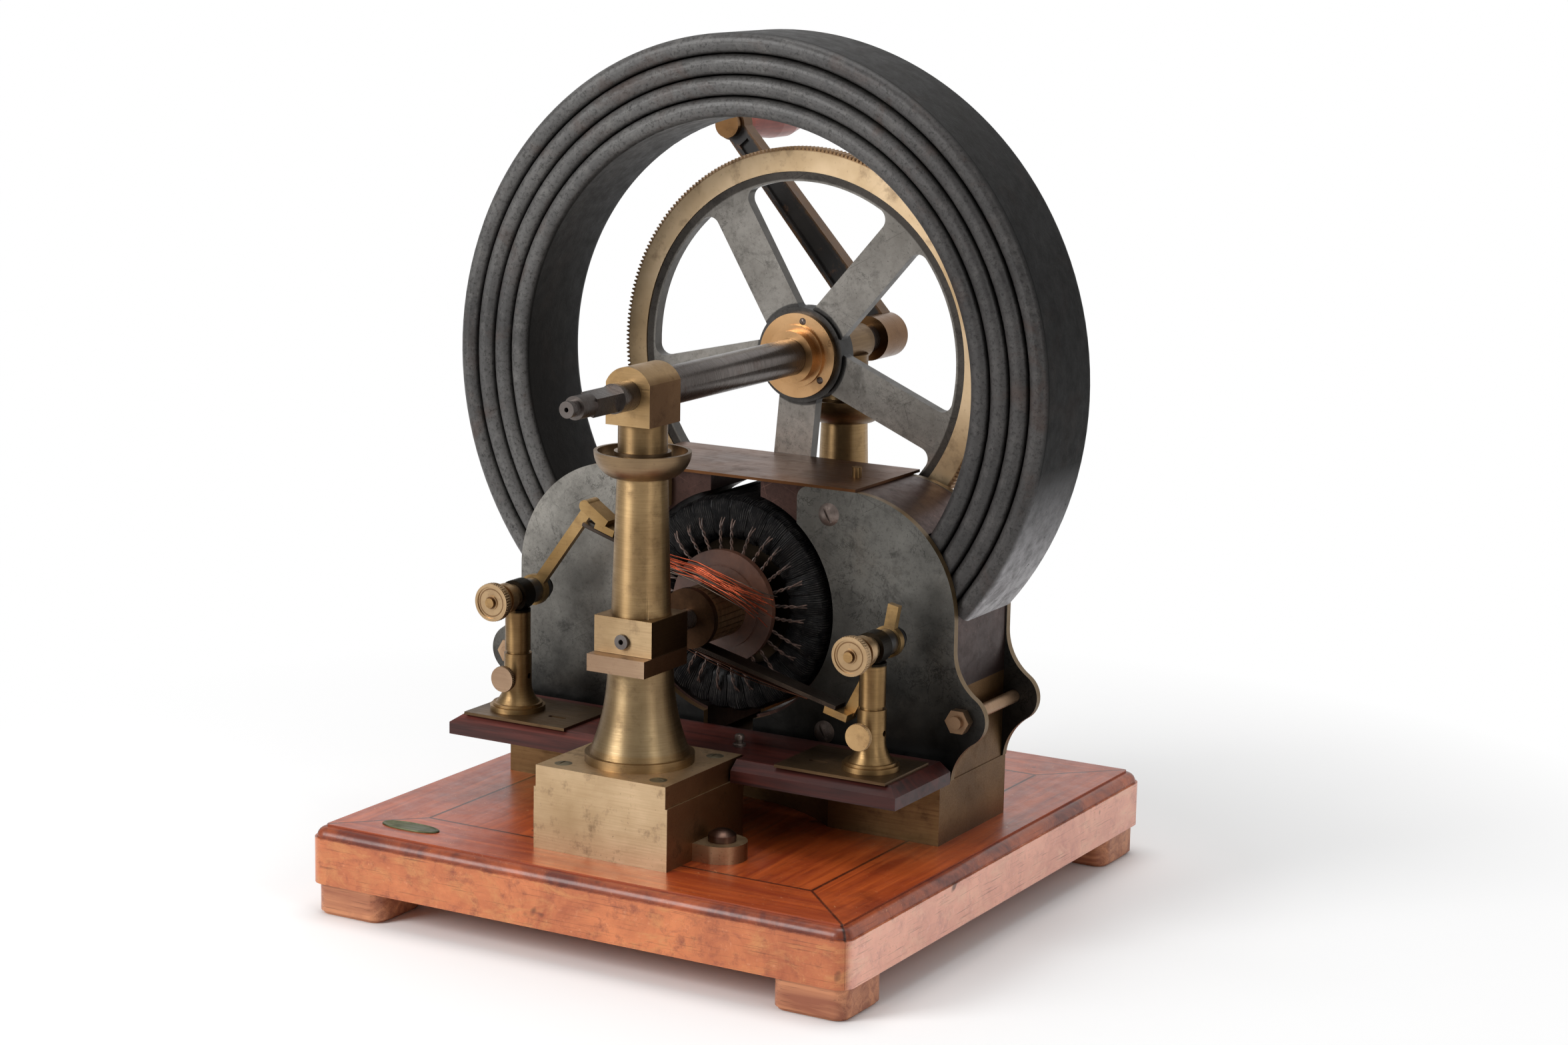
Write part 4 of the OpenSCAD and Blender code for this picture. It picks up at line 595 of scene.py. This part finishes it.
add(scratched_steel, "plate_steel", (0.167, 0.161, 0.146), (0.063, 0.060, 0.054), (0.105, 0.086, 0.064),
    rim=(0.15, 0.098, 0.046), scratch=0.5, cut=(0.026, 0.023, 0.020),
    dark_below=(PLATE_LOW_Z, SHADE_TOP_Z, 0.95), pale_left=(2.05, 2.02, 2.0), stains=0.55)
finishes["magnet_iron"] = magnet_iron()
add(aged_metal, "guard_brass", (0.195, 0.086, 0.036), (0.098, 0.041, 0.017), BROWN, ROLLED_X, (0.3, 0.5))
finishes["shaft_steel"] = turned_steel()
add(aged_metal, "gear_brass", (0.69, 0.525, 0.345), (0.46, 0.325, 0.185), BROWN, TURNED_Y, (0.34, 0.54),
    stained=0.5, dark_r=TOOTH_ROOT_R)
add(scratched_steel, "spider_steel", (0.30, 0.282, 0.256), (0.140, 0.128, 0.113), (0.155, 0.120, 0.085),
    scratch=0.6, cut=(0.05, 0.044, 0.038), stains=0.45, hub_r=SPIDER_HUB_R,
    rim=(0.085, 0.078, 0.070))
add(aged_metal, "hub_bronze", (0.72, 0.455, 0.24), (0.42, 0.235, 0.105), BROWN, TURNED_Y, (0.2, 0.38),
    stained=0.2, zones=(((0.31, 0.27, 0.23), (Y, REAR_BOSS_Y, FAR_Y)),))
finishes["crank_black"] = worn_black()
add(scratched_steel, "pinion_steel", (0.22, 0.215, 0.2), (0.1, 0.096, 0.09), (0.1, 0.08, 0.06))
add(moulded, "core_iron", (0.05, 0.048, 0.045), (0.02, 0.019, 0.018), (0.45, 0.6), metallic=0.5)
finishes["coil_silk"] = silk()
add(aged_metal, "ring_hub_brass", (0.040, 0.028, 0.018), (0.015, 0.011, 0.008), (0.008, 0.006, 0.005),
    TURNED_Y, (0.4, 0.6))
finishes["commutator_brass"] = worn_commutator()
add(moulded, "flange_fibre", (0.115, 0.048, 0.028), (0.050, 0.021, 0.014), (0.36, 0.55))
add(moulded, "lead_wire", (0.165, 0.098, 0.076), (0.014, 0.010, 0.008), (0.42, 0.6), grain=230.0)
add(aged_metal, "post_brass", (0.42, 0.272, 0.125), (0.20, 0.118, 0.048), BROWN, TURNED_Z, (0.40, 0.56),
    stained=0.45, satin=True, zones=(
        ((0.05, 0.06, 0.09), (Y, BARREL_DARK_Y, 0.0), (Z, POST_HEAD_Z - BARREL_R, POST_HEAD_Z + BARREL_R)),
    ))
add(moulded, "sleeve_ebonite", (0.018, 0.016, 0.016), (0.007, 0.007, 0.007), (0.28, 0.45))
add(aged_metal, "arm_brass", (0.46, 0.30, 0.135), (0.24, 0.145, 0.055), BROWN, ROLLED_X, (0.28, 0.48))
add(aged_metal, "brush_copper", (0.44, 0.088, 0.038), (0.075, 0.016, 0.010), (0.026, 0.010, 0.008),
    (30, 700, 700), (0.3, 0.5), stained=0.8, marks=0.5,
    zones=(((0.5, 0.46, 0.46), (X, -BOARD_END_X, -WIRE_BRIGHT_X)),))
add(aged_metal, "brush_dark", (0.105, 0.080, 0.064), (0.032, 0.024, 0.020), (0.014, 0.011, 0.010), ROLLED_X,
    (0.36, 0.55))

for part in frame["record"]["subparts"]:
    shown = nodes[part["node"]]
    shown.data.materials.clear()
    shown.data.materials.append(finishes[part["material_slot"]])

# Single nodes whose look differs from the rest of their slot
add(aged_metal, "knob_brass", (0.68, 0.48, 0.28), (0.34, 0.22, 0.115), BROWN, TURNED_Y, (0.30, 0.48),
    stained=0.3, rings=((3.4, 4.4), (9.2, 10.0)))
add(aged_metal, "lug_brown", (0.20, 0.125, 0.095), (0.085, 0.048, 0.036), BROWN, TURNED_Z, (0.28, 0.45))
add(aged_metal, "pillar_screw", (0.34, 0.30, 0.205), (0.16, 0.135, 0.090), BROWN, ROLLED_X, (0.32, 0.5))
add(aged_metal, "lip_brass", (0.46, 0.315, 0.205), (0.26, 0.165, 0.105), BROWN, ROLLED_X, (0.36, 0.56),
    dim_side=BLOCK_SHADE)
add(aged_metal, "tie_bronze", (0.62, 0.425, 0.27), (0.30, 0.19, 0.115), BROWN, TURNED_Y, (0.34, 0.52))
add(aged_metal, "strand_brown", (0.20, 0.095, 0.066), (0.06, 0.030, 0.022), BROWN, ROLLED_X, (0.34, 0.52))
add(aged_metal, "thumb_gold", (0.62, 0.41, 0.20), (0.35, 0.215, 0.095), BROWN, TURNED_Y, (0.34, 0.5))
add(scratched_steel, "plate_screw", (0.25, 0.20, 0.175), (0.10, 0.074, 0.062), (0.13, 0.068, 0.045),
    dark_below=(SCREW_SHADE_Z, SHADE_TOP_Z, 0.45))
add(aged_metal, "tag_brass", (0.16, 0.16, 0.085), (0.075, 0.085, 0.05), (0.04, 0.045, 0.03), ROLLED_X,
    (0.4, 0.6))
for name, finish in (
    ("knob_left", "knob_brass"), ("knob_right", "knob_brass"), ("thumb_screw_left", "lip_brass"),
    ("thumb_screw_right", "thumb_gold"), ("lug_bolts", "lug_brown"), ("pillar_screws", "pillar_screw"),
    ("bearing_lips", "lip_brass"), ("tie_bolts", "tie_bronze"), ("plate_screws", "plate_screw"),
):
    nodes[name].data.materials[0] = finishes[finish]


# Mesh helpers; points are in millimetres
def piece(name, bm, finish, body, smooth=True):
    mesh = bpy.data.meshes.new(name)
    bmesh.ops.recalc_face_normals(bm, faces=bm.faces)
    bm.transform(Matrix.Scale(MM, 4))
    bm.to_mesh(mesh)
    bm.free()
    if smooth:
        mesh.polygons.foreach_set("use_smooth", [True] * len(mesh.polygons))
        mesh.set_sharp_from_angle(angle=math.radians(40))
    obj = bpy.data.objects.new(name, mesh)
    bpy.context.scene.collection.objects.link(obj)
    mesh.materials.append(finishes[finish])
    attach(obj, body)
    return obj


def tube(bm, path, radius, sides=6, closed=False):
    """Round wire along a path of points, capped at its ends unless it is closed."""
    count = len(path)
    rings = []
    normal = None
    for i, point in enumerate(path):
        ahead = path[(i + 1) % count] if closed or i + 1 < count else point
        behind = path[i - 1] if closed or i else point
        along = (ahead - behind).normalized()
        if normal is None:
            normal = along.orthogonal()
        normal = (normal - along * normal.dot(along)).normalized()
        other = along.cross(normal)
        ring = []
        for k in range(sides):
            a = 2 * math.pi * k / sides
            ring.append(bm.verts.new(point + (normal * math.cos(a) + other * math.sin(a)) * radius))
        rings.append(ring)
    spans = count if closed else count - 1
    for i in range(spans):
        first, second = rings[i], rings[(i + 1) % count]
        shift = 0
        if closed and i == count - 1:
            shift = min(range(sides), key=lambda k: (second[k].co - first[0].co).length)
        for k in range(sides):
            n = (k + 1) % sides
            bm.faces.new((first[k], first[n], second[(n + shift) % sides], second[(k + shift) % sides]))
    if not closed:
        bm.faces.new(rings[0][::-1])
        bm.faces.new(rings[-1])


def skin(bm, rings, capped=True):
    """Faces from each ring of points to the next, with the end rings closed if capped."""
    for first, second in zip(rings, rings[1:]):
        for k in range(len(first)):
            n = (k + 1) % len(first)
            bm.faces.new((first[k], first[n], second[n], second[k]))
    if capped:
        bm.faces.new(rings[0][::-1])
        bm.faces.new(rings[-1])


def around_axis(radius, angle, y, z0=AXIS_Z, x0=0.0):
    return Vector((x0 + radius * math.cos(angle), y, z0 + radius * math.sin(angle)))


# Wound ring: each coil is a bundle of silk-covered turns around the core's section
def ring_section(share, inner, outer, front, rear, corner):
    """Point (radius, depth) at a share of the way round a rounded rectangle."""
    w, d = outer - inner - 2 * corner, rear - front - 2 * corner
    arc = math.pi * corner / 2
    at = share * (2 * w + 2 * d + 4 * arc)
    spans = (
        ((outer, front + corner), (0, 1), d, (outer - corner, rear - corner), 0.0),
        ((outer - corner, rear), (-1, 0), w, (inner + corner, rear - corner), 90.0),
        ((inner, rear - corner), (0, -1), d, (inner + corner, front + corner), 180.0),
        ((inner + corner, front), (1, 0), w, (outer - corner, front + corner), 270.0),
    )
    for start, way, length, centre, turn in spans:
        if at <= length:
            return start[0] + way[0] * at, start[1] + way[1] * at
        at -= length
        if at <= arc:
            a = math.radians(turn) + at / corner
            return centre[0] + corner * math.cos(a), centre[1] + corner * math.sin(a)
        at -= arc
    return outer, front + corner


def wound_ring():
    bm = bmesh.new()
    turns = 13
    wire_r = 0.66
    steps = 40
    pitch = 2 * math.pi / COIL_COUNT
    for coil in range(COIL_COUNT):
        middle = -(coil + 0.5) * pitch
        for turn in range(turns):
            place = (turn + 0.5) / turns - 0.5
            lean = place * pitch * 0.93
            crown = 1.2 * (1 - (2 * place) ** 2)
            path = []
            for i in range(steps):
                r, y = ring_section(
                    i / steps, RING_IN_R + wire_r, RING_OUT_R - 1.4 - wire_r + crown,
                    RING_FRONT_Y + 1.2 + wire_r - crown, RING_REAR_Y - 1.2 - wire_r + crown, 7.0)
                squeeze = 0.8 if r < RING_IN_R + 8 else 1.0
                sway = random.uniform(-0.003, 0.003)
                path.append(around_axis(r, middle + lean * squeeze + sway, y))
            tube(bm, path, wire_r, sides=5, closed=True)
    # Dark body under the turns, with a shallow valley between neighbouring coils
    points, around, sunk = 48, 168, 2.0
    profile = [
        ring_section(i / points, RING_IN_R + 1.2, RING_OUT_R - sunk, RING_FRONT_Y + sunk,
                     RING_REAR_Y - sunk, 6.5) for i in range(points)]
    grid = []
    for j in range(around):
        a = 2 * math.pi * j / around
        grid.append([bm.verts.new(around_axis(r, a, y)) for r, y in profile])
    skin(bm, grid + grid[:1], capped=False)
    obj = piece("wound_ring", bm, "coil_silk", "armature")
    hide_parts("ring_coils")


# Twisted leads: a thick pair from each coil gap to the flange, parted where it sinks into the coils
def twisted_leads():
    bm = bmesh.new()
    wire_r = 0.56
    part_at = 0.72
    half_turns = 5.0
    lay_y = FLANGE_REAR_Y + 0.9
    for i in range(COIL_COUNT):
        a = (i + 0.5) * 2 * math.pi / COIL_COUNT
        lean = random.uniform(-0.05, 0.05)
        reach = random.uniform(25.0, 29.0)
        for strand in (0.0, math.pi):
            path = []
            for k in range(31):
                share = k / 30
                r = LEAD_IN_R + share * reach
                twist = strand + min(share, part_at) * half_turns * math.pi
                parted = max(0.0, share - part_at) / (1.0 - part_at)
                apart = math.copysign(1.3 * parted ** 1.2, math.cos(strand))
                spread = 0.75 * (1.0 - parted) * math.cos(twist) + apart
                sink = 4.6 * parted ** 1.6 - 1.5 * min(1.0, 2.5 * share)
                y = lay_y + 0.7 * (1.0 - parted) * math.sin(twist) + sink
                path.append(around_axis(r, a + lean * share + spread / r, y))
            tube(bm, path, wire_r, sides=6)
    obj = piece("twisted_leads", bm, "lead_wire", "armature")
    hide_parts("coil_leads")


# Brushes: copper wires fanned over the commutator, and stacked dark leaves under it
def brush_point(tilt, side, u, v, y):
    t = math.radians(tilt)
    w = side * BRUSH_OFF + v
    return Vector((u * math.cos(t) - w * math.sin(t), y, AXIS_Z + u * math.sin(t) + w * math.cos(t)))


def wire_brush():
    bright, dull = bmesh.new(), bmesh.new()
    columns, layers, wire_r = 11, 3, 0.36
    hang_end = -10.0
    for c in range(columns):
        for layer in range(layers):
            across = (c / (columns - 1) - 0.5) * (BRUSH_W - 1.6)
            lift = -BRUSH_T / 2 + 0.55 + layer * 0.95
            end = 43.0 + random.uniform(-12.0, 6.0)
            fan = random.uniform(-9.0, 9.0) + across * 0.7
            rise = random.uniform(-9.0, 4.0)
            wave = random.uniform(-0.8, 0.8)
            loft = random.random() ** 1.5
            sag = random.uniform(-6.5, 0.5) * (1.0 - loft)
            path = []
            for k in range(29):
                share = k / 28
                u = WIRE_START + share * (end - WIRE_START)
                loose = max(0.0, (u + 14.0) / 50.0)
                y = BRUSH_MID_Y + across + fan * loose ** 1.4 + wave * math.sin(share * 9.0)
                way = (u - WIRE_START) / (hang_end - WIRE_START)
                hang = sag * math.sin(math.pi * way) if u < hang_end else 0.0
                spring = 10.0 * loft * min(1.0, (u - WIRE_START) / 50.0)
                path.append(brush_point(BRUSH_LEFT_TILT, 1, u, lift + hang + spring + rise * loose ** 2, y))
            tube(dull if (c + layer) % 3 == 0 else bright, path, wire_r, sides=5)
    obj = piece("wire_brush", bright, "brush_copper", "brush_arm_left")
    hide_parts("brush_left")
    piece("wire_brush_dull", dull, "brush_dark", "brush_arm_left")


# Dark folded sheath that holds the wires in the arm's jaw
def brush_sheath():
    bm = bmesh.new()
    half_w, half_t, fold = BRUSH_W / 2, BRUSH_T / 2, 0.7
    outline = (
        (-half_w + fold, -half_t), (half_w - fold, -half_t), (half_w, -half_t + fold),
        (half_w, half_t - fold),
        (half_w - fold, half_t - 0.05), (0.8, half_t - 0.05), (0.0, half_t - 0.5), (-0.8, half_t - 0.05),
        (-half_w + fold, half_t - 0.05), (-half_w, half_t - fold), (-half_w, -half_t + fold),
    )
    stations = []
    for u, squeeze in ((-106.0, 0.97), (-104.5, 1.0), (-60.0, 1.0), (-57.5, 0.98), (-56.0, 0.92)):
        stations.append([
            bm.verts.new(brush_point(BRUSH_LEFT_TILT, 1, u, v * squeeze, BRUSH_MID_Y + w * squeeze))
            for w, v in outline])
    skin(bm, stations)
    piece("brush_sheath", bm, "brush_dark", "brush_arm_left")


def leaf_brush():
    bm = bmesh.new()
    leaves, strips = 4, 7
    leaf_u, strand_u, strand_r = 118.0, 96.0, 0.34
    thick = BRUSH_T / leaves * 0.86
    width = BRUSH_W / strips
    for leaf in range(leaves):
        v0 = -BRUSH_T / 2 + leaf * BRUSH_T / leaves
        for strip in range(strips):
            y0 = BRUSH_MID_Y - BRUSH_W / 2 + strip * width
            end = -11.0 + random.uniform(-0.8, 5.0) + leaf * 2.0
            droop = random.uniform(0.0, 1.1) * (leaves - leaf) / leaves
            stations = []
            for k in range(13):
                share = k / 12
                u = leaf_u + share * (end - leaf_u)
                loose = max(0.0, (40.0 - u) / 50.0)
                v = v0 - droop * loose ** 2
                corners = ((0.02, v), (width - 0.05, v), (width - 0.05, v + thick), (0.02, v + thick))
                stations.append([
                    bm.verts.new(brush_point(BRUSH_RIGHT_TILT, -1, u, cv, y0 + cy)) for cy, cv in corners])
            skin(bm, stations)
    strands = bmesh.new()
    for _ in range(18):
        y0 = BRUSH_MID_Y + random.uniform(-0.5, 0.5) * (BRUSH_W - 1.0)
        end = random.uniform(-24.0, 2.0)
        sweep, lift, sag = random.uniform(-5.0, 5.0), random.uniform(0.3, 0.9), random.uniform(0.0, 5.0)
        path = []
        for k in range(21):
            share = k / 20
            u = strand_u + share * (end - strand_u)
            out = math.sin(math.pi * min(1.0, share * 1.1)) * sag
            v = -BRUSH_T / 2 - lift - out
            path.append(brush_point(BRUSH_RIGHT_TILT, -1, u, v, y0 + sweep * share ** 2))
        tube(strands, path, strand_r, sides=5)
    piece("leaf_brush_strands", strands, "strand_brown", "brush_arm_right")
    obj = piece("leaf_brush", bm, "brush_dark", "brush_arm_right", smooth=False)
    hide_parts("brush_right")


# Knurled bands on the knobs and on the wire screws
def knurled_band(name, body, x, z, radius, front, rear):
    bm = bmesh.new()
    points = 4 * 44
    rings = []
    for y, sink in ((front, 0.5), (front + 0.5, 0.0), (rear - 0.5, 0.0), (rear, 0.5)):
        ring = []
        for k in range(points):
            crest = 0.30 if k % 4 in (1, 2) else -0.12
            ring.append(bm.verts.new(around_axis(radius + crest - sink, 2 * math.pi * k / points, y, z, x)))
        rings.append(ring)
    skin(bm, rings, capped=False)
    piece(name, bm, "knob_brass", body, smooth=False)


def knurling():
    for side, x in (("left", -POST_X), ("right", POST_X)):
        knurled_band("knob_knurl_" + side, "clamp_knob_" + side, x, POST_HEAD_Z, KNOB_R,
                     KNOB_FRONT_Y + 0.8, KNOB_FRONT_Y + KNOB_RIM_T - 0.8)
        knurled_band("thumb_knurl_" + side, "wire_screw_" + side, x, WIRE_Z, THUMB_R,
                     THUMB_FRONT_Y + 0.5, THUMB_FRONT_Y + THUMB_T - 0.5)


# Turned stud on the terminal board, behind the front pillar
def board_stud():
    bm = bmesh.new()
    profile = (
        (4.6, 0.0), (4.6, 1.6), (4.1, 2.0), (2.6, 2.2), (2.6, 4.4),
        (3.4, 4.8), (3.4, 7.4), (2.8, 8.2), (1.2, 8.7),
    )
    count = 32
    rings = []
    for radius, height in profile:
        ring = []
        for k in range(count):
            a = 2 * math.pi * k / count
            x, y = STUD_X + radius * math.cos(a), STUD_Y + radius * math.sin(a)
            ring.append(bm.verts.new((x, y, TERMINAL_TOP_Z + height)))
        rings.append(ring)
    skin(bm, rings)
    piece("board_stud", bm, "screw_steel", "frame")


# Bare oval plate on the deck
def deck_tag():
    bm = bmesh.new()
    half_l, half_w = 23.0, 8.0
    rows = ((1.0, 0.0), (1.0, 0.6), (0.97, 1.0), (0.90, 1.0), (0.88, 0.75))
    count = 64
    rings = []
    for scale, height in rows:
        ring = []
        for k in range(count):
            a = 2 * math.pi * k / count
            x = TAG_X + scale * half_l * math.copysign(abs(math.cos(a)) ** 0.8, math.cos(a))
            ring.append(bm.verts.new((x, TAG_Y + scale * half_w * math.sin(a), DECK_Z + height)))
        rings.append(ring)
    skin(bm, rings)
    piece("deck_tag", bm, "tag_brass", "frame")


# Plain studio
BACKDROP, CEILING, ROOM = 0.45, 0.30, 0.14


def area_light(name, place, aim, size, power):
    data = bpy.data.lights.new(name, "AREA")
    data.shape = "RECTANGLE"
    data.size, data.size_y = size
    data.energy = power
    lamp = bpy.data.objects.new(name, data)
    bpy.context.scene.collection.objects.link(lamp)
    lamp.location = place
    lamp.rotation_euler = (Vector(aim) - Vector(place)).to_track_quat("-Z", "Y").to_euler()


def studio():
    scene = bpy.context.scene
    scene.view_settings.view_transform = "Standard"
    world = bpy.data.worlds.new("studio")
    scene.world = world
    world.use_nodes = True
    tree = world.node_tree

    def value(kind, a, b):
        made = tree.nodes.new("ShaderNodeMath")
        made.operation = kind
        for socket, given in zip(made.inputs, (a, b)):
            if isinstance(given, float):
                socket.default_value = given
            else:
                tree.links.new(given, socket)
        return made.outputs["Value"]

    # The room: a pale backdrop behind the object, a softer ceiling and a dim side behind the camera
    ways = tree.nodes.new("ShaderNodeSeparateXYZ")
    tree.links.new(tree.nodes.new("ShaderNodeTexCoord").outputs["Generated"], ways.inputs["Vector"])
    behind = value("MAXIMUM", ways.outputs["Y"], 0.0)
    above = value("MAXIMUM", ways.outputs["Z"], 0.0)
    walls = value("ADD", value("MULTIPLY", behind, BACKDROP), value("MULTIPLY", above, CEILING))
    room = value("ADD", walls, ROOM)
    path = tree.nodes.new("ShaderNodeLightPath")
    mirrored = value("MINIMUM", value("MULTIPLY", behind, 1.6), 1.0)
    shown = value("MULTIPLY", path.outputs["Is Glossy Ray"], mirrored)
    seen = value("MAXIMUM", path.outputs["Is Camera Ray"], path.outputs["Is Transmission Ray"])
    seen = value("MAXIMUM", seen, shown)
    ground = tree.nodes["Background"]
    ground.inputs["Color"].default_value = (1, 1, 1, 1)
    tree.links.new(value("MAXIMUM", seen, room), ground.inputs["Strength"])

    # The floor is paper near the object and fades to the backdrop's white farther out
    bm = bmesh.new()
    bmesh.ops.create_grid(bm, x_segments=8, y_segments=8, size=8.0)
    mesh = bpy.data.meshes.new("floor")
    bm.to_mesh(mesh)
    bm.free()
    floor = bpy.data.objects.new("floor", mesh)
    floor.location.z = -0.0004
    scene.collection.objects.link(floor)
    paper = Shader("floor_paper")
    paper.finish(paper.mix(paper.noise(3.0), (0.91, 0.91, 0.91), (0.94, 0.94, 0.94)), 0.8)
    length = paper.node("ShaderNodeVectorMath", operation="LENGTH")
    paper.put(length.inputs[0], paper.place)
    far = paper.band(length.outputs["Value"], 0.36, 0.75)
    ray = paper.node("ShaderNodeLightPath")
    glow = paper.node("ShaderNodeEmission")
    fade = paper.node("ShaderNodeMixShader")
    seen = paper.math("MAXIMUM", ray.outputs["Is Camera Ray"], ray.outputs["Is Transmission Ray"])
    seen = paper.math("MAXIMUM", seen, ray.outputs["Is Glossy Ray"])
    paper.put(fade.inputs["Fac"], paper.math("MULTIPLY", far, seen))
    paper.put(fade.inputs[1], paper.bsdf.outputs["BSDF"])
    paper.put(fade.inputs[2], glow.outputs["Emission"])
    paper.put(paper.tree.nodes["Material Output"].inputs["Surface"], fade.outputs["Shader"])
    mesh.materials.append(paper.mat)

    area_light("key", (-1.4, -2.3, 1.5), (0, 0, 0.26), (1.2, 1.5), 60)
    area_light("fill", (2.4, -1.1, 1.3), (0, 0, 0.3), (0.6, 1.8), 11)
    area_light("top", (-0.1, 0.1, 2.5), (0, 0, 0.3), (1.6, 1.3), 24)


camera()
studio()
wound_ring()
twisted_leads()
wire_brush()
brush_sheath()
leaf_brush()
knurling()
board_stud()
deck_tag()
